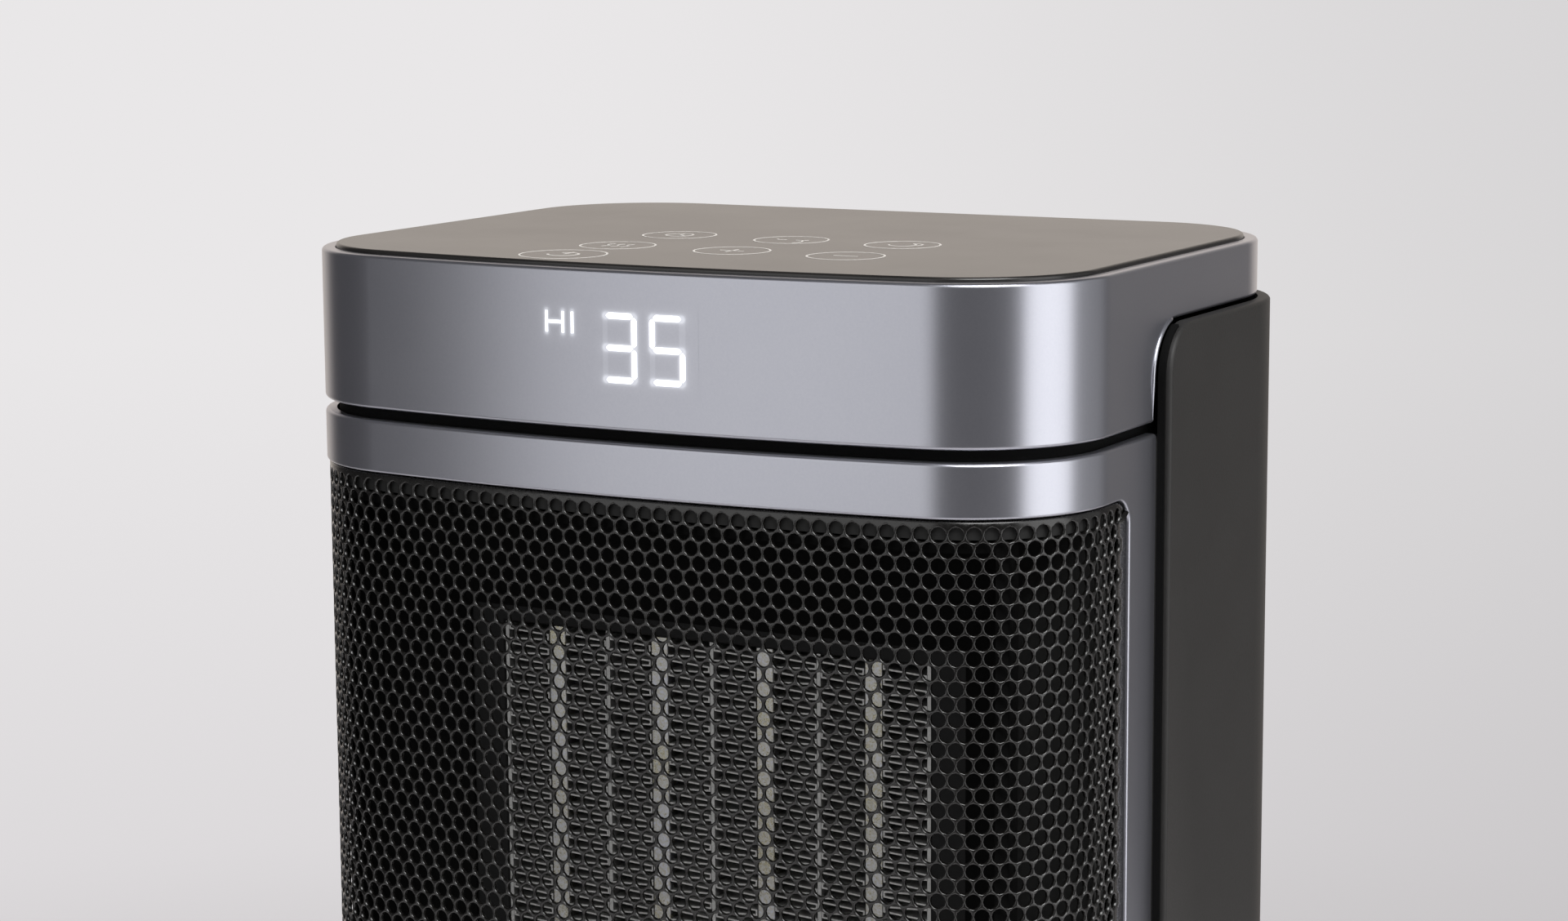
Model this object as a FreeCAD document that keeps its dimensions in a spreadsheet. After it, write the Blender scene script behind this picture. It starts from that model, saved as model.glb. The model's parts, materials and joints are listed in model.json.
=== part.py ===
import FreeCAD, Part
import Sketcher
import math
import os
import re

# Tower fan heater: a round base, a swinging tower with a ceramic heating element and a cross-flow fan.
# +Z is up, the front faces -Y, the origin lies on the floor on the swing axis. Lengths in millimetres.

sizes = {
    # tower outline seen from above
    "body_width": 170,
    "body_depth": 132,
    "corner_radius": 29,
    "bow_radius": 448,
    # heights from the floor upwards
    "feet_height": 2,
    "base_height": 20,
    "swivel_gap": 1.5,
    "lower_band": 40,
    "mesh_height": 260,
    "upper_band": 10.4,
    "groove_height": 2.3,
    "cap_height": 30.3,
    "panel_proud": 0.9,
    # walls and clearances
    "shell_wall": 2.2,
    "cap_wall": 2.5,
    "cover_wall": 2.5,
    "cover_proud": 2.7,
    "floor_wall": 2.5,
    "inner_wall": 2,
    "play": 0.3,
    "slip": 0.1,
    "cover_gap": 0.5,
    "root_depth": 0.5,
    "overcut": 1,
    # edges on the sides of the tower, measured forward of the axis
    "mesh_edge": 23.2,
    "strip_edge": 10.5,
    "notch_edge": 11.8,
    "cover_edge": 9.8,
    "notch_drop": 11.5,
    "notch_round": 11,
    "cover_round": 10,
    "window_round": 5,
    "edge_round": 0.7,
    # base and swivel
    "base_diameter": 180,
    "base_wall": 2.5,
    "base_round": 7,
    "plate_thickness": 2,
    "recess_diameter": 116,
    "recess_depth": 9.5,
    "hub_diameter": 36,
    "hub_wall": 5,
    "bearing_gap": 1.6,
    "boss_width": 5,
    "bearing_height": 2,
    "retainer_overhang": 5,
    "retainer_lip": 1,
    "retainer_screw_length": 7,
    "weight_gap": 0.5,
    "weight_margin": 8,
    "weight_height": 6,
    "weight_opening": 28,
    "foot_radius": 6,
    "foot_inset": 14,
    "screw_inset": 10,
    "base_boss_radius": 3.5,
    "base_screw_length": 10,
    "plunger_margin": 1.5,
    "plunger_radius": 4,
    "plunger_travel": 3.2,
    "bush_height": 2.5,
    "collar_width": 1.6,
    "collar_height": 1.2,
    "tip_switch_length": 20,
    "tip_switch_width": 10,
    "tip_switch_height": 7,
    # swing gear
    "gear_module": 1.25,
    "rack_teeth": 70,
    "pinion_teeth": 14,
    "gear_thickness": 5.6,
    "gear_backlash": 0.25,
    "pinion_reach": 4,
    "swing_motor_radius": 17.5,
    "swing_motor_height": 18,
    "ear_reach": 6,
    "ear_width": 8,
    "ear_thickness": 1,
    # grille and outlet
    "mesh_thickness": 0.8,
    "mesh_recess": 0.5,
    "mesh_flange": 5.8,
    "mesh_pitch": 17,
    "mesh_hole": 13,
    "mesh_border": 3,
    "duct_width": 148,
    "duct_margin": 4.5,
    "duct_depth": 16,
    "duct_gap": 0.8,
    "duct_lap": 0.5,
    # heating element
    "element_margin": 34,
    "element_depth": 14,
    "element_front": 33,
    "unit_pitch": 24,
    "bar_width": 3.9,
    "strip_width": 0.8,
    "fin_pitch": 8,
    "fin_thickness": 0.6,
    "frame_bar": 4.8,
    "frame_side": 9.1,
    "frame_lip": 0.5,
    "cutout_side": 38,
    "cutout_front": 26,
    "cutout_height": 6,
    "cutout_radius": 7,
    # blower
    "fan_radius": 31,
    "fan_back": 22,
    "fan_gap": 3,
    "blade_count": 24,
    "blade_depth": 5.5,
    "blade_thickness": 0.9,
    "wheel_disc": 2,
    "shaft_radius": 3,
    "shaft_inset": 10,
    "shaft_reach": 4,
    "shaft_hole_margin": 4,
    "bush_wall": 5,
    "bush_flange": 3,
    "bush_flange_height": 1.5,
    "motor_radius": 28,
    "motor_height": 40,
    "motor_bore_floor": 8,
    "mount_height": 4,
    "mount_radius": 5,
    "mount_inset": 8,
    "housing_back": 58,
    "scroll_radius": 40,
    "scroll_shift": 4,
    "scroll_lead": 2,
    "tongue_lap": 4,
    "tongue_thickness": 2,
    # rear
    "grille_width": 104,
    "grille_round": 6,
    "grille_low_margin": 2.5,
    "grille_high_margin": 1.5,
    "grille_border": 8,
    "grille_side": 6,
    "grille_rib": 4,
    "net_inset": 3,
    "net_thickness": 1.5,
    "slot_pitch": 6.4,
    "slot_height": 3.4,
    "handle_width": 92,
    "handle_height": 24,
    "handle_depth": 20,
    "handle_round": 8,
    "handle_gap": 3,
    "switch_side": 22,
    "rocker_width": 20,
    "rocker_height": 16.8,
    "rocker_depth": 17,
    "rocker_wall": 1.5,
    "rocker_flange": 2.5,
    "rocker_proud": 1.6,
    "rocker_cavity": 11,
    "paddle_width": 16,
    "paddle_height": 12,
    "paddle_root": 9,
    "paddle_depth": 6,
    "paddle_low": 0.8,
    "paddle_middle": 2.2,
    "paddle_high": 4.4,
    "pivot_radius": 1.2,
    "pivot_inset": 0.4,
    "gland_collar": 8,
    "gland_proud": 3,
    "gland_neck": 5,
    "gland_nut": 4,
    "cord_radius": 3.3,
    # screws and posts
    "screw_radius": 1.5,
    "head_radius": 3,
    "head_height": 1.3,
    "post_radius": 4,
    "rear_post_side": 46,
    "rear_post_width": 10,
    "rear_post_depth": 12,
    "rear_screw_level": 9.5,
    "cover_screw_depth": 8,
    "tray_post_height": 20,
    "deck_post_height": 15.5,
    "cap_post_side": 66,
    "cap_post_back": 30,
    "cap_screw_length": 8,
    "inner_post_side": 50,
    "inner_post_front": 25,
    "tray_post_back": 45,
    "deck_post_back": 30,
    # electronics
    "board_thickness": 1.6,
    "power_board_gap": 19,
    "power_board_front": 20,
    "power_board_back": 40,
    "power_board_height": 50,
    "relay_depth": 12,
    "relay_width": 16,
    "relay_front": 14,
    "relay_pitch": 22,
    "relay_level": 14,
    "control_width": 80,
    "control_front": 30,
    "control_back": 35,
    "chip_width": 16,
    "chip_shift": 4,
    "chip_height": 2,
    "standoff_height": 6,
    "standoff_radius": 3,
    "standoff_side": 34,
    "standoff_front": 24,
    "standoff_back": 29,
    "touch_margin": 12,
    "touch_front_margin": 5.5,
    "spring_radius": 2.5,
    # top
    "panel_inset": 2.85,
    "panel_seat": 3.1,
    "panel_round": 0.5,
    "deck_lip": 6,
    "display_skin": 1.35,
    "display_depth": 6,
    "display_margin": 4,
    "display_shift": 1.5,
    "display_width": 39,
    "display_height": 15.4,
    "display_drop": 7.2,
    "key_pitch": 25.4,
    "key_shift": 4,
    "key_row_pitch": 24.4,
    "key_front_row": 50.9,
    "key_middle_row": 31,
    "key_margin": 9,
    "key_front_margin": 3,
    "key_round": 3,
}

# Levels and places worked out from the driving sizes
derived = {
    "half_width": "body_width / 2",
    "half_depth": "body_depth / 2",
    "base_radius": "base_diameter / 2",
    "foot_circle": "base_radius - foot_inset",
    "screw_circle": "base_radius - screw_inset",
    "base_top": "feet_height + base_height",
    "plate_top": "feet_height + plate_thickness",
    "recess_radius": "recess_diameter / 2",
    "plunger_circle": "recess_radius + base_wall + tip_switch_width / 2 + plunger_margin",
    "recess_floor": "base_top - recess_depth",
    "recess_under": "recess_floor - base_wall",
    "base_ceiling": "base_top - base_wall",
    "hub_radius": "hub_diameter / 2",
    "bearing_inner": "hub_radius + bearing_gap",
    "bearing_outer": "bearing_inner + boss_width",
    "bearing_top": "recess_floor + bearing_height",
    "hub_bottom": "recess_under - 4 * slip",
    "bush_top": "plate_top + bush_height",
    "plunger_stop": "bush_top + plunger_travel + 2 * slip",
    "plunger_collar": "plunger_radius + collar_width",
    "plunger_shoulder": "plunger_stop + collar_height",
    "plunger_top": "base_ceiling - tip_switch_height - play",
    "weight_inner": "recess_radius + base_wall + weight_gap",
    "tower_bottom": "base_top + swivel_gap",
    "hub_root": "tower_bottom + root_depth",
    "tray_top": "tower_bottom + floor_wall",
    "tray_root": "tray_top - root_depth",
    "mesh_bottom": "tower_bottom + lower_band",
    "mesh_top": "mesh_bottom + mesh_height",
    "frame_top": "mesh_top + upper_band",
    "cap_bottom": "frame_top + groove_height",
    "rim": "cap_bottom + cap_height",
    "seat": "rim - panel_seat",
    "cap_ceiling": "seat - inner_wall",
    "cover_top": "rim - notch_drop - cover_gap",
    "cover_outer": "-cover_proud",
    "cover_inner": "cover_wall - cover_proud",
    "cover_back_inner": "half_depth - cover_inner",
    "cover_back": "half_depth + cover_proud",
    "tray_inset": "shell_wall + play",
    "deck_inset": "cap_wall + play",
    "deck_under": "frame_top - floor_wall",
    "deck_root": "frame_top - root_depth",
    "deck_top": "cap_bottom + deck_lip",
    "cap_root": "cap_ceiling + root_depth",
    "element_bottom": "mesh_bottom + element_margin",
    "element_top": "mesh_top - element_margin",
    "element_half": "2 * unit_pitch + strip_width / 2",
    "element_back": "element_depth - element_front",
    "element_outer": "element_half + frame_side",
    "housing_front": "-element_front - frame_lip",
    "housing_start": "element_back + 2 * frame_lip",
    "housing_floor": "element_bottom - frame_bar",
    "housing_under": "housing_floor - floor_wall",
    "lid_under": "element_top + frame_bar",
    "lid_top": "lid_under + floor_wall",
    "fan_bottom": "housing_floor + fan_gap",
    "fan_top": "lid_under - fan_gap",
    "motor_top": "housing_under - mount_height",
    "motor_bottom": "motor_top - motor_height",
    "gear_distance": "gear_module * (rack_teeth - pinion_teeth) / 2",
    "rack_top": "recess_floor + gear_thickness + 2 * slip",
    "grille_low": "element_bottom + grille_low_margin",
    "grille_high": "element_top - grille_high_margin",
    "handle_low": "lid_top + handle_gap",
    "handle_high": "handle_low + handle_height",
    "switch_level": "tower_bottom + lower_band / 2",
    "low_screw_level": "tray_top + rear_screw_level",
    "high_screw_level": "frame_top + rear_screw_level",
    "display_front": "display_skin - half_depth",
    "display_back": "display_front + display_depth",
    "display_top": "rim - display_drop",
    "display_bottom": "display_top - display_height",
    "display_left": "-display_shift - display_width / 2",
    "display_right": "display_width / 2 - display_shift",
    "control_level": "frame_top + standoff_height",
    "control_top": "control_level + board_thickness",
    "power_board_side": "half_width - power_board_gap",
    "relay_side": "board_thickness - power_board_side",
    "key_left": "key_shift - key_pitch",
    "key_right": "key_shift + key_pitch",
    "key_back_row": "key_row_pitch - key_middle_row",
    "bush_radius": "shaft_radius + bush_wall",
    "blade_bend": "1.2 * blade_depth",
}

doc = FreeCAD.newDocument("fan_heater")
sheet = doc.addObject("Spreadsheet::Sheet", "Sizes")
for row, (name, number) in enumerate(sizes.items(), 1):
    sheet.set("A%d" % row, str(number))
    sheet.setAlias("A%d" % row, name)
doc.recompute()

nodes = []
word_pattern = re.compile(r"[a-z][a-z_]*[a-z]")
plane_roles = {"top": "XY_Plane", "front": "XZ_Plane", "side": "YZ_Plane"}


def bind(text):
    # Size names become sheet cells, derived names open into their own expressions
    def swap(match):
        word = match.group(0)
        if word in derived:
            return "(" + bind(derived[word]) + ")"
        if word in sizes:
            return "Sizes." + word
        return word
    return word_pattern.sub(swap, str(text))


def value(text):
    return float(sheet.evalExpression(bind(text)))


def node(name, item):
    item.Label = name
    nodes.append(item)
    return item


# Sketches

def new_body(name):
    return node(name, doc.addObject("PartDesign::Body", name))


def new_sketch(body, plane, level="0"):
    # The level is the sketch plane's own coordinate: Z for top, Y for front, X for side
    role = plane_roles[plane]
    support = [item for item in body.Origin.OriginFeatures if item.Role == role][0]
    sketch = body.newObject("Sketcher::SketchObject", body.Name + "_sketch")
    sketch.AttachmentSupport = (support, [""])
    sketch.MapMode = "FlatFace"
    offset = "-(%s)" % level if plane == "front" else level
    sketch.setExpression("AttachmentOffset.Base.z", bind(offset))
    return sketch


def dimension(sketch, kind, place, text):
    index = sketch.addConstraint(Sketcher.Constraint(kind, *place, value(text)))
    sketch.setExpression("Constraints[%d]" % index, bind(text))


def fix_point(sketch, item, end, x, y):
    dimension(sketch, "DistanceX", (-1, 1, item, end), x)
    dimension(sketch, "DistanceY", (-1, 1, item, end), y)


def add_line(sketch, start, end):
    line = Part.LineSegment(FreeCAD.Vector(*start, 0), FreeCAD.Vector(*end, 0))
    return sketch.addGeometry(line, False)


def add_arc(sketch, centre, radius, start_angle, end_angle):
    circle = Part.Circle(FreeCAD.Vector(*centre, 0), FreeCAD.Vector(0, 0, 1), radius)
    arc = Part.ArcOfCircle(circle, math.radians(start_angle), math.radians(end_angle))
    return sketch.addGeometry(arc, False)


def join_loop(sketch, items, kind):
    for first, second in zip(items, items[1:] + items[:1]):
        sketch.addConstraint(Sketcher.Constraint(kind, first, 2, second, 1))


def polygon(sketch, points):
    places = [(value(x), value(y)) for x, y in points]
    lines = [add_line(sketch, a, b) for a, b in zip(places, places[1:] + places[:1])]
    join_loop(sketch, lines, "Coincident")
    for line, (x, y) in zip(lines, points):
        fix_point(sketch, line, 1, x, y)


def circle(sketch, x, y, radius):
    shape = Part.Circle(FreeCAD.Vector(value(x), value(y), 0), FreeCAD.Vector(0, 0, 1), value(radius))
    item = sketch.addGeometry(shape, False)
    fix_point(sketch, item, 3, x, y)
    dimension(sketch, "Radius", (item,), radius)


def rounded_rectangle(sketch, left, right, bottom, top, radius):
    x_low, x_high, y_low, y_high, r = [value(text) for text in (left, right, bottom, top, radius)]
    items = [
        add_line(sketch, (x_low + r, y_low), (x_high - r, y_low)),
        add_arc(sketch, (x_high - r, y_low + r), r, -90, 0),
        add_line(sketch, (x_high, y_low + r), (x_high, y_high - r)),
        add_arc(sketch, (x_high - r, y_high - r), r, 0, 90),
        add_line(sketch, (x_high - r, y_high), (x_low + r, y_high)),
        add_arc(sketch, (x_low + r, y_high - r), r, 90, 180),
        add_line(sketch, (x_low, y_high - r), (x_low, y_low + r)),
        add_arc(sketch, (x_low + r, y_low + r), r, 180, 270),
    ]
    join_loop(sketch, items, "Tangent")
    for line in (items[0], items[4]):
        sketch.addConstraint(Sketcher.Constraint("Horizontal", line))
    for line in (items[2], items[6]):
        sketch.addConstraint(Sketcher.Constraint("Vertical", line))
    for arc in items[1::2]:
        dimension(sketch, "Radius", (arc,), radius)
    dimension(sketch, "DistanceY", (-1, 1, items[0], 1), bottom)
    dimension(sketch, "DistanceX", (-1, 1, items[2], 1), right)
    dimension(sketch, "DistanceY", (-1, 1, items[4], 1), top)
    dimension(sketch, "DistanceX", (-1, 1, items[6], 1), left)


def bow_geometry():
    # Centre height of the bowed front, place of the front corner's centre, and the angle where they meet
    bow_y = value("bow_radius - half_depth")
    corner_x = value("half_width - corner_radius")
    reach = value("bow_radius - corner_radius")
    corner_y = bow_y - math.sqrt(reach ** 2 - corner_x ** 2)
    meeting = math.degrees(math.asin(corner_x / reach))
    return bow_y, corner_x, corner_y, meeting


def outline(sketch, inset):
    # Tower outline seen from above, moved inwards by the inset: bowed front, four round corners
    bow_y, corner_x, corner_y, meeting = bow_geometry()
    shift = value(inset)
    bow = value("bow_radius") - shift
    corner = value("corner_radius") - shift
    side = value("half_width") - shift
    back = value("half_depth") - shift
    rear_y = value("half_depth - corner_radius")
    items = [
        add_arc(sketch, (0, bow_y), bow, -90 - meeting, -90 + meeting),
        add_arc(sketch, (corner_x, corner_y), corner, -90 + meeting, 0),
        add_line(sketch, (side, corner_y), (side, rear_y)),
        add_arc(sketch, (corner_x, rear_y), corner, 0, 90),
        add_line(sketch, (corner_x, back), (-corner_x, back)),
        add_arc(sketch, (-corner_x, rear_y), corner, 90, 180),
        add_line(sketch, (-side, rear_y), (-side, corner_y)),
        add_arc(sketch, (-corner_x, corner_y), corner, 180, 270 - meeting),
    ]
    join_loop(sketch, items, "Tangent")
    sketch.addConstraint(Sketcher.Constraint("PointOnObject", items[0], 3, -2))
    dimension(sketch, "DistanceY", (-1, 1, items[0], 3), "bow_radius - half_depth")
    dimension(sketch, "Radius", (items[0],), "bow_radius - (%s)" % inset)
    for arc in items[1::2]:
        dimension(sketch, "Radius", (arc,), "corner_radius - (%s)" % inset)
    for line in (items[2], items[6]):
        sketch.addConstraint(Sketcher.Constraint("Vertical", line))
    sketch.addConstraint(Sketcher.Constraint("Horizontal", items[4]))
    dimension(sketch, "DistanceX", (-1, 1, items[2], 1), "half_width - (%s)" % inset)
    dimension(sketch, "DistanceX", (-1, 1, items[6], 1), "(%s) - half_width" % inset)
    dimension(sketch, "DistanceY", (-1, 1, items[4], 1), "half_depth - (%s)" % inset)


# Features

def pad(body, sketch, length, back=False):
    feature = body.newObject("PartDesign::Pad", body.Name + "_pad")
    feature.Profile = sketch
    feature.setExpression("Length", bind(length))
    feature.Reversed = back
    doc.recompute()
    return feature


def pocket(body, sketch, length, back=False):
    before = body.Shape.Volume
    feature = body.newObject("PartDesign::Pocket", body.Name + "_pocket")
    feature.Profile = sketch
    feature.setExpression("Length", bind(length))
    feature.Reversed = back
    doc.recompute()
    if body.Shape.Volume > before - 0.01:
        raise ValueError("a pocket cuts nothing in " + body.Label)
    return feature


def revolve(body, points):
    sketch = new_sketch(body, "front")
    polygon(sketch, points)
    feature = body.newObject("PartDesign::Revolution", body.Name + "_turned")
    feature.Profile = sketch
    feature.ReferenceAxis = (sketch, ["V_Axis"])
    doc.recompute()
    return feature


def fillet(body, radius, chosen):
    base = body.Tip
    names = ["Edge%d" % index for index, edge in enumerate(base.Shape.Edges, 1) if chosen(edge)]
    if not names:
        raise ValueError("no edge to round in " + body.Label)
    feature = body.newObject("PartDesign::Fillet", body.Name + "_round")
    feature.Base = (base, names)
    feature.setExpression("Radius", bind(radius))
    doc.recompute()
    return feature


def place(item, x="0", y="0", z="0"):
    for axis, text in zip("xyz", (x, y, z)):
        item.setExpression("Placement.Base." + axis, bind(text))


# Primitives and booleans

def block(name, x, y, z):
    item = doc.addObject("Part::Box", name)
    for prop, (low, high) in zip(("Length", "Width", "Height"), (x, y, z)):
        item.setExpression(prop, bind("(%s) - (%s)" % (high, low)))
    place(item, x[0], y[0], z[0])
    return item


def rod(name, x, y, z, radius):
    item = doc.addObject("Part::Cylinder", name)
    item.setExpression("Radius", bind(radius))
    item.setExpression("Height", bind("(%s) - (%s)" % (z[1], z[0])))
    place(item, x, y, z[0])
    return item


def rod_along_y(name, x, y, z, radius):
    item = rod(name, x, y[0], ("0", "(%s) - (%s)" % (y[1], y[0])), radius)
    item.Placement.Rotation = FreeCAD.Rotation(FreeCAD.Vector(1, 0, 0), -90)
    place(item, x, y[0], z)
    return item


def rod_along_x(name, x, y, z, radius):
    item = rod(name, x[0], y, ("0", "(%s) - (%s)" % (x[1], x[0])), radius)
    item.Placement.Rotation = FreeCAD.Rotation(FreeCAD.Vector(0, 1, 0), 90)
    place(item, x[0], y, z)
    return item


def fuse(name, items):
    item = doc.addObject("Part::MultiFuse", name)
    item.Shapes = items
    return item


def cut(name, base, tools):
    item = doc.addObject("Part::Cut", name)
    item.Base = base
    item.Tool = tools[0] if len(tools) == 1 else fuse(name + "_tools", tools)
    return item


def ring_places(circle_name, count, start_angle):
    step = 360 / count
    angles = [start_angle + step * index for index in range(count)]
    return [("%s * cos(%g)" % (circle_name, a), "%s * sin(%g)" % (circle_name, a)) for a in angles]


def both_sides(x):
    return [x, "-(%s)" % x]


def lies_at(edge, height):
    return all(abs(vertex.Z - height) < 0.01 for vertex in edge.Vertexes)


def on_outline(edge, inset):
    # True where the edge's middle lies on the tower outline moved inwards by the inset
    bow_y, corner_x, corner_y, meeting = bow_geometry()
    middle = edge.valueAt((edge.FirstParameter + edge.LastParameter) / 2)
    x, y = abs(middle.x), middle.y
    shift = value(inset)
    rear_y = value("half_depth - corner_radius")
    if y < corner_y and math.degrees(math.atan2(x, bow_y - y)) <= meeting:
        off = math.hypot(x, y - bow_y) - value("bow_radius")
    elif x > corner_x and y < corner_y:
        off = math.hypot(x - corner_x, y - corner_y) - value("corner_radius")
    elif x > corner_x and y > rear_y:
        off = math.hypot(x - corner_x, y - rear_y) - value("corner_radius")
    else:
        off = max(x - value("half_width"), y - value("half_depth"))
    return abs(off + shift) < 0.02


# Base

def make_base():
    cover = new_body("base_cover")
    revolve(cover, [
        ("base_radius", "feet_height"),
        ("base_radius", "base_top"),
        ("recess_radius", "base_top"),
        ("recess_radius", "recess_floor"),
        ("hub_radius + slip", "recess_floor"),
        ("hub_radius + slip", "recess_under"),
        ("recess_radius + base_wall", "recess_under"),
        ("recess_radius + base_wall", "base_ceiling"),
        ("base_radius - base_wall", "base_ceiling"),
        ("base_radius - base_wall", "feet_height"),
    ])
    outer, inner = value("base_radius"), value("base_radius - base_wall")
    top, ceiling = value("base_top"), value("base_ceiling")
    fillet(cover, "base_round", lambda edge: edge.BoundBox.XMax > outer - 0.01 and lies_at(edge, top)
           and edge.Length > 3 * outer)
    fillet(cover, "base_round - base_wall", lambda edge: abs(edge.BoundBox.XMax - inner) < 0.01
           and lies_at(edge, ceiling) and edge.Length > 3 * outer)
    screws = ring_places("screw_circle", 4, 65)
    bosses = new_sketch(cover, "top", "plate_top")
    for x, y in screws:
        circle(bosses, x, y, "base_boss_radius")
        circle(bosses, x, y, "screw_radius + slip / 2")
    pad(cover, bosses, "base_ceiling + root_depth - plate_top")

    plate = new_body("base_plate")
    disc = new_sketch(plate, "top", "feet_height")
    circle(disc, "0", "0", "base_radius - base_wall - play")
    for x, y in screws:
        circle(disc, x, y, "screw_radius + slip")
    circle(disc, "0", "-plunger_circle", "plunger_radius + slip")
    pad(plate, disc, "plate_thickness")
    bush = new_sketch(plate, "top", "plate_top")
    circle(bush, "0", "-plunger_circle", "plunger_radius + slip")
    circle(bush, "0", "-plunger_circle", "plunger_radius + inner_wall")
    pad(plate, bush, "bush_top - plate_top")

    weight = new_body("base_weight")
    ring = new_sketch(weight, "top", "plate_top")
    circle(ring, "0", "0", "weight_inner")
    circle(ring, "0", "0", "base_radius - weight_margin")
    pad(weight, ring, "weight_height")
    gap = new_sketch(weight, "top", "plate_top + weight_height + overcut")
    left, right = "-weight_opening / 2", "weight_opening / 2"
    polygon(gap, [(left, "-base_radius"), (right, "-base_radius"), (right, "-hub_radius"), (left, "-hub_radius")])
    for x, y in screws:
        circle(gap, x, y, "base_boss_radius + 2 * play")
    pocket(weight, gap, "weight_height + 2 * overcut")

    feet = new_body("rubber_feet")
    pads = new_sketch(feet, "top")
    for x, y in ring_places("foot_circle", 4, 20):
        circle(pads, x, y, "foot_radius")
    pad(feet, pads, "feet_height")

    screw_group("base_screws", screws, "feet_height", "feet_height + base_screw_length", below=True)

    node("tip_switch", block("tip_switch", ("-tip_switch_length / 2", "tip_switch_length / 2"),
                             ("-plunger_circle - tip_switch_width / 2", "tip_switch_width / 2 - plunger_circle"),
                             ("base_ceiling - tip_switch_height", "base_ceiling")))
    plunger = new_body("tip_plunger")
    revolve(plunger, [
        ("0", "0"),
        ("plunger_radius", "0"),
        ("plunger_radius", "plunger_stop"),
        ("plunger_collar", "plunger_stop"),
        ("plunger_collar", "plunger_shoulder"),
        ("plunger_radius / 2", "plunger_shoulder"),
        ("plunger_radius / 2", "plunger_top"),
        ("0", "plunger_top"),
    ])
    place(plunger, "0", "-plunger_circle")


def screw_group(name, places, joint, tip, below):
    # Screws along Z: heads on one side of the joint level, shanks on the other
    head_end = "%s %s head_height" % (joint, "-" if below else "+")
    heads = (head_end, joint) if below else (joint, head_end)
    shanks = (joint, tip) if below else (tip, joint)
    items = []
    for x, y in places:
        items.append(rod(name + "_head", x, y, heads, "head_radius"))
        items.append(rod(name + "_shank", x, y, shanks, "screw_radius"))
    return node(name, fuse(name, items))


# Swing gear: an inner-toothed curved rack on the base, a pinion under the tower

def involute(angle):
    return math.tan(angle) - angle


def tooth_half_angle(radius, pitch_radius, half_at_pitch):
    pressure = math.radians(25)
    base_radius = pitch_radius * math.cos(pressure)
    here = math.acos(min(1, base_radius / max(radius, base_radius)))
    return half_at_pitch + involute(pressure) - involute(here)


def tooth_outline(centre_angle, radii, pitch_radius, half_at_pitch):
    # One tooth (or tooth space) as points, up one flank and down the other
    rising = [(r, centre_angle - tooth_half_angle(r, pitch_radius, half_at_pitch)) for r in radii]
    falling = [(r, centre_angle + tooth_half_angle(r, pitch_radius, half_at_pitch)) for r in reversed(radii)]
    return [FreeCAD.Vector(r * math.cos(a), r * math.sin(a), 0) for r, a in rising + falling]


def spread(low, high, count):
    return [low + (high - low) * index / (count - 1) for index in range(count)]


def solid_node(name, shape):
    item = doc.addObject("Part::Feature", name)
    item.Shape = shape
    return node(name, item)


def make_gears():
    module = value("gear_module")
    backlash = value("gear_backlash")
    thickness = value("gear_thickness")
    towards_front = math.radians(270)
    flank_steps = 5

    teeth = int(value("pinion_teeth"))
    pitch_radius = module * teeth / 2
    half = math.pi / (2 * teeth) - backlash / (4 * pitch_radius)
    radii = spread(pitch_radius - 1.15 * module, pitch_radius + 0.9 * module, flank_steps)
    points = []
    for index in range(teeth):
        points += tooth_outline(towards_front + 2 * math.pi * index / teeth, radii, pitch_radius, half)
    gear = Part.Face(Part.makePolygon(points + points[:1])).extrude(FreeCAD.Vector(0, 0, thickness))
    shaft_length = value("tray_top + pinion_reach - recess_floor - 2 * slip")
    shaft = Part.makeCylinder(value("shaft_radius"), shaft_length)
    pinion = solid_node("swing_pinion", gear.fuse(shaft).removeSplitter())
    pinion.Placement.Base = FreeCAD.Vector(0, -value("gear_distance"), value("recess_floor + 2 * slip"))

    teeth = int(value("rack_teeth"))
    pitch_radius = module * teeth / 2
    half = math.pi / (2 * teeth) + backlash / (4 * pitch_radius)
    radii = spread(pitch_radius - 0.9 * module, pitch_radius + 1.15 * module, flank_steps)
    step = 2 * math.pi / teeth
    spaces_each_way = 10
    points = []
    for index in range(-spaces_each_way, spaces_each_way + 1):
        points += tooth_outline(towards_front + index * step, radii, pitch_radius, half)
    outer = value("recess_radius - 2 * play")
    span = (spaces_each_way + 0.5) * step

    def at(radius, angle):
        return FreeCAD.Vector(radius * math.cos(angle), radius * math.sin(angle), 0)
    first, last = towards_front - span, towards_front + span
    points = [at(outer, first), at(radii[0], first)] + points + [at(radii[0], last), at(outer, last)]
    edges = Part.makePolygon(points).Edges
    edges.append(Part.Arc(at(outer, last), at(outer, towards_front), at(outer, first)).toShape())
    rack = Part.Face(Part.Wire(edges)).extrude(FreeCAD.Vector(0, 0, thickness + 2 * value("slip")))
    middle = (radii[-1] + outer) / 2
    for angle in (towards_front - 0.75 * span, towards_front + 0.75 * span):
        hole = Part.makeCylinder(value("screw_radius + slip"), 2 * thickness, at(middle, angle))
        rack = rack.cut(hole)
    rack_node = solid_node("swing_rack", rack)
    rack_node.Placement.Base = FreeCAD.Vector(0, 0, value("recess_floor"))
    screws = []
    for angle in (towards_front - 0.75 * span, towards_front + 0.75 * span):
        foot = at(middle, angle) + FreeCAD.Vector(0, 0, value("recess_floor + slip"))
        top = at(middle, angle) + FreeCAD.Vector(0, 0, value("rack_top"))
        shank = Part.makeCylinder(value("screw_radius"), value("rack_top - recess_floor - slip"), foot)
        head = Part.makeCylinder(value("head_radius"), value("head_height"), top)
        screws.append(shank.fuse(head).removeSplitter())
    solid_node("rack_screws", Part.makeCompound(screws))


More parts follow.
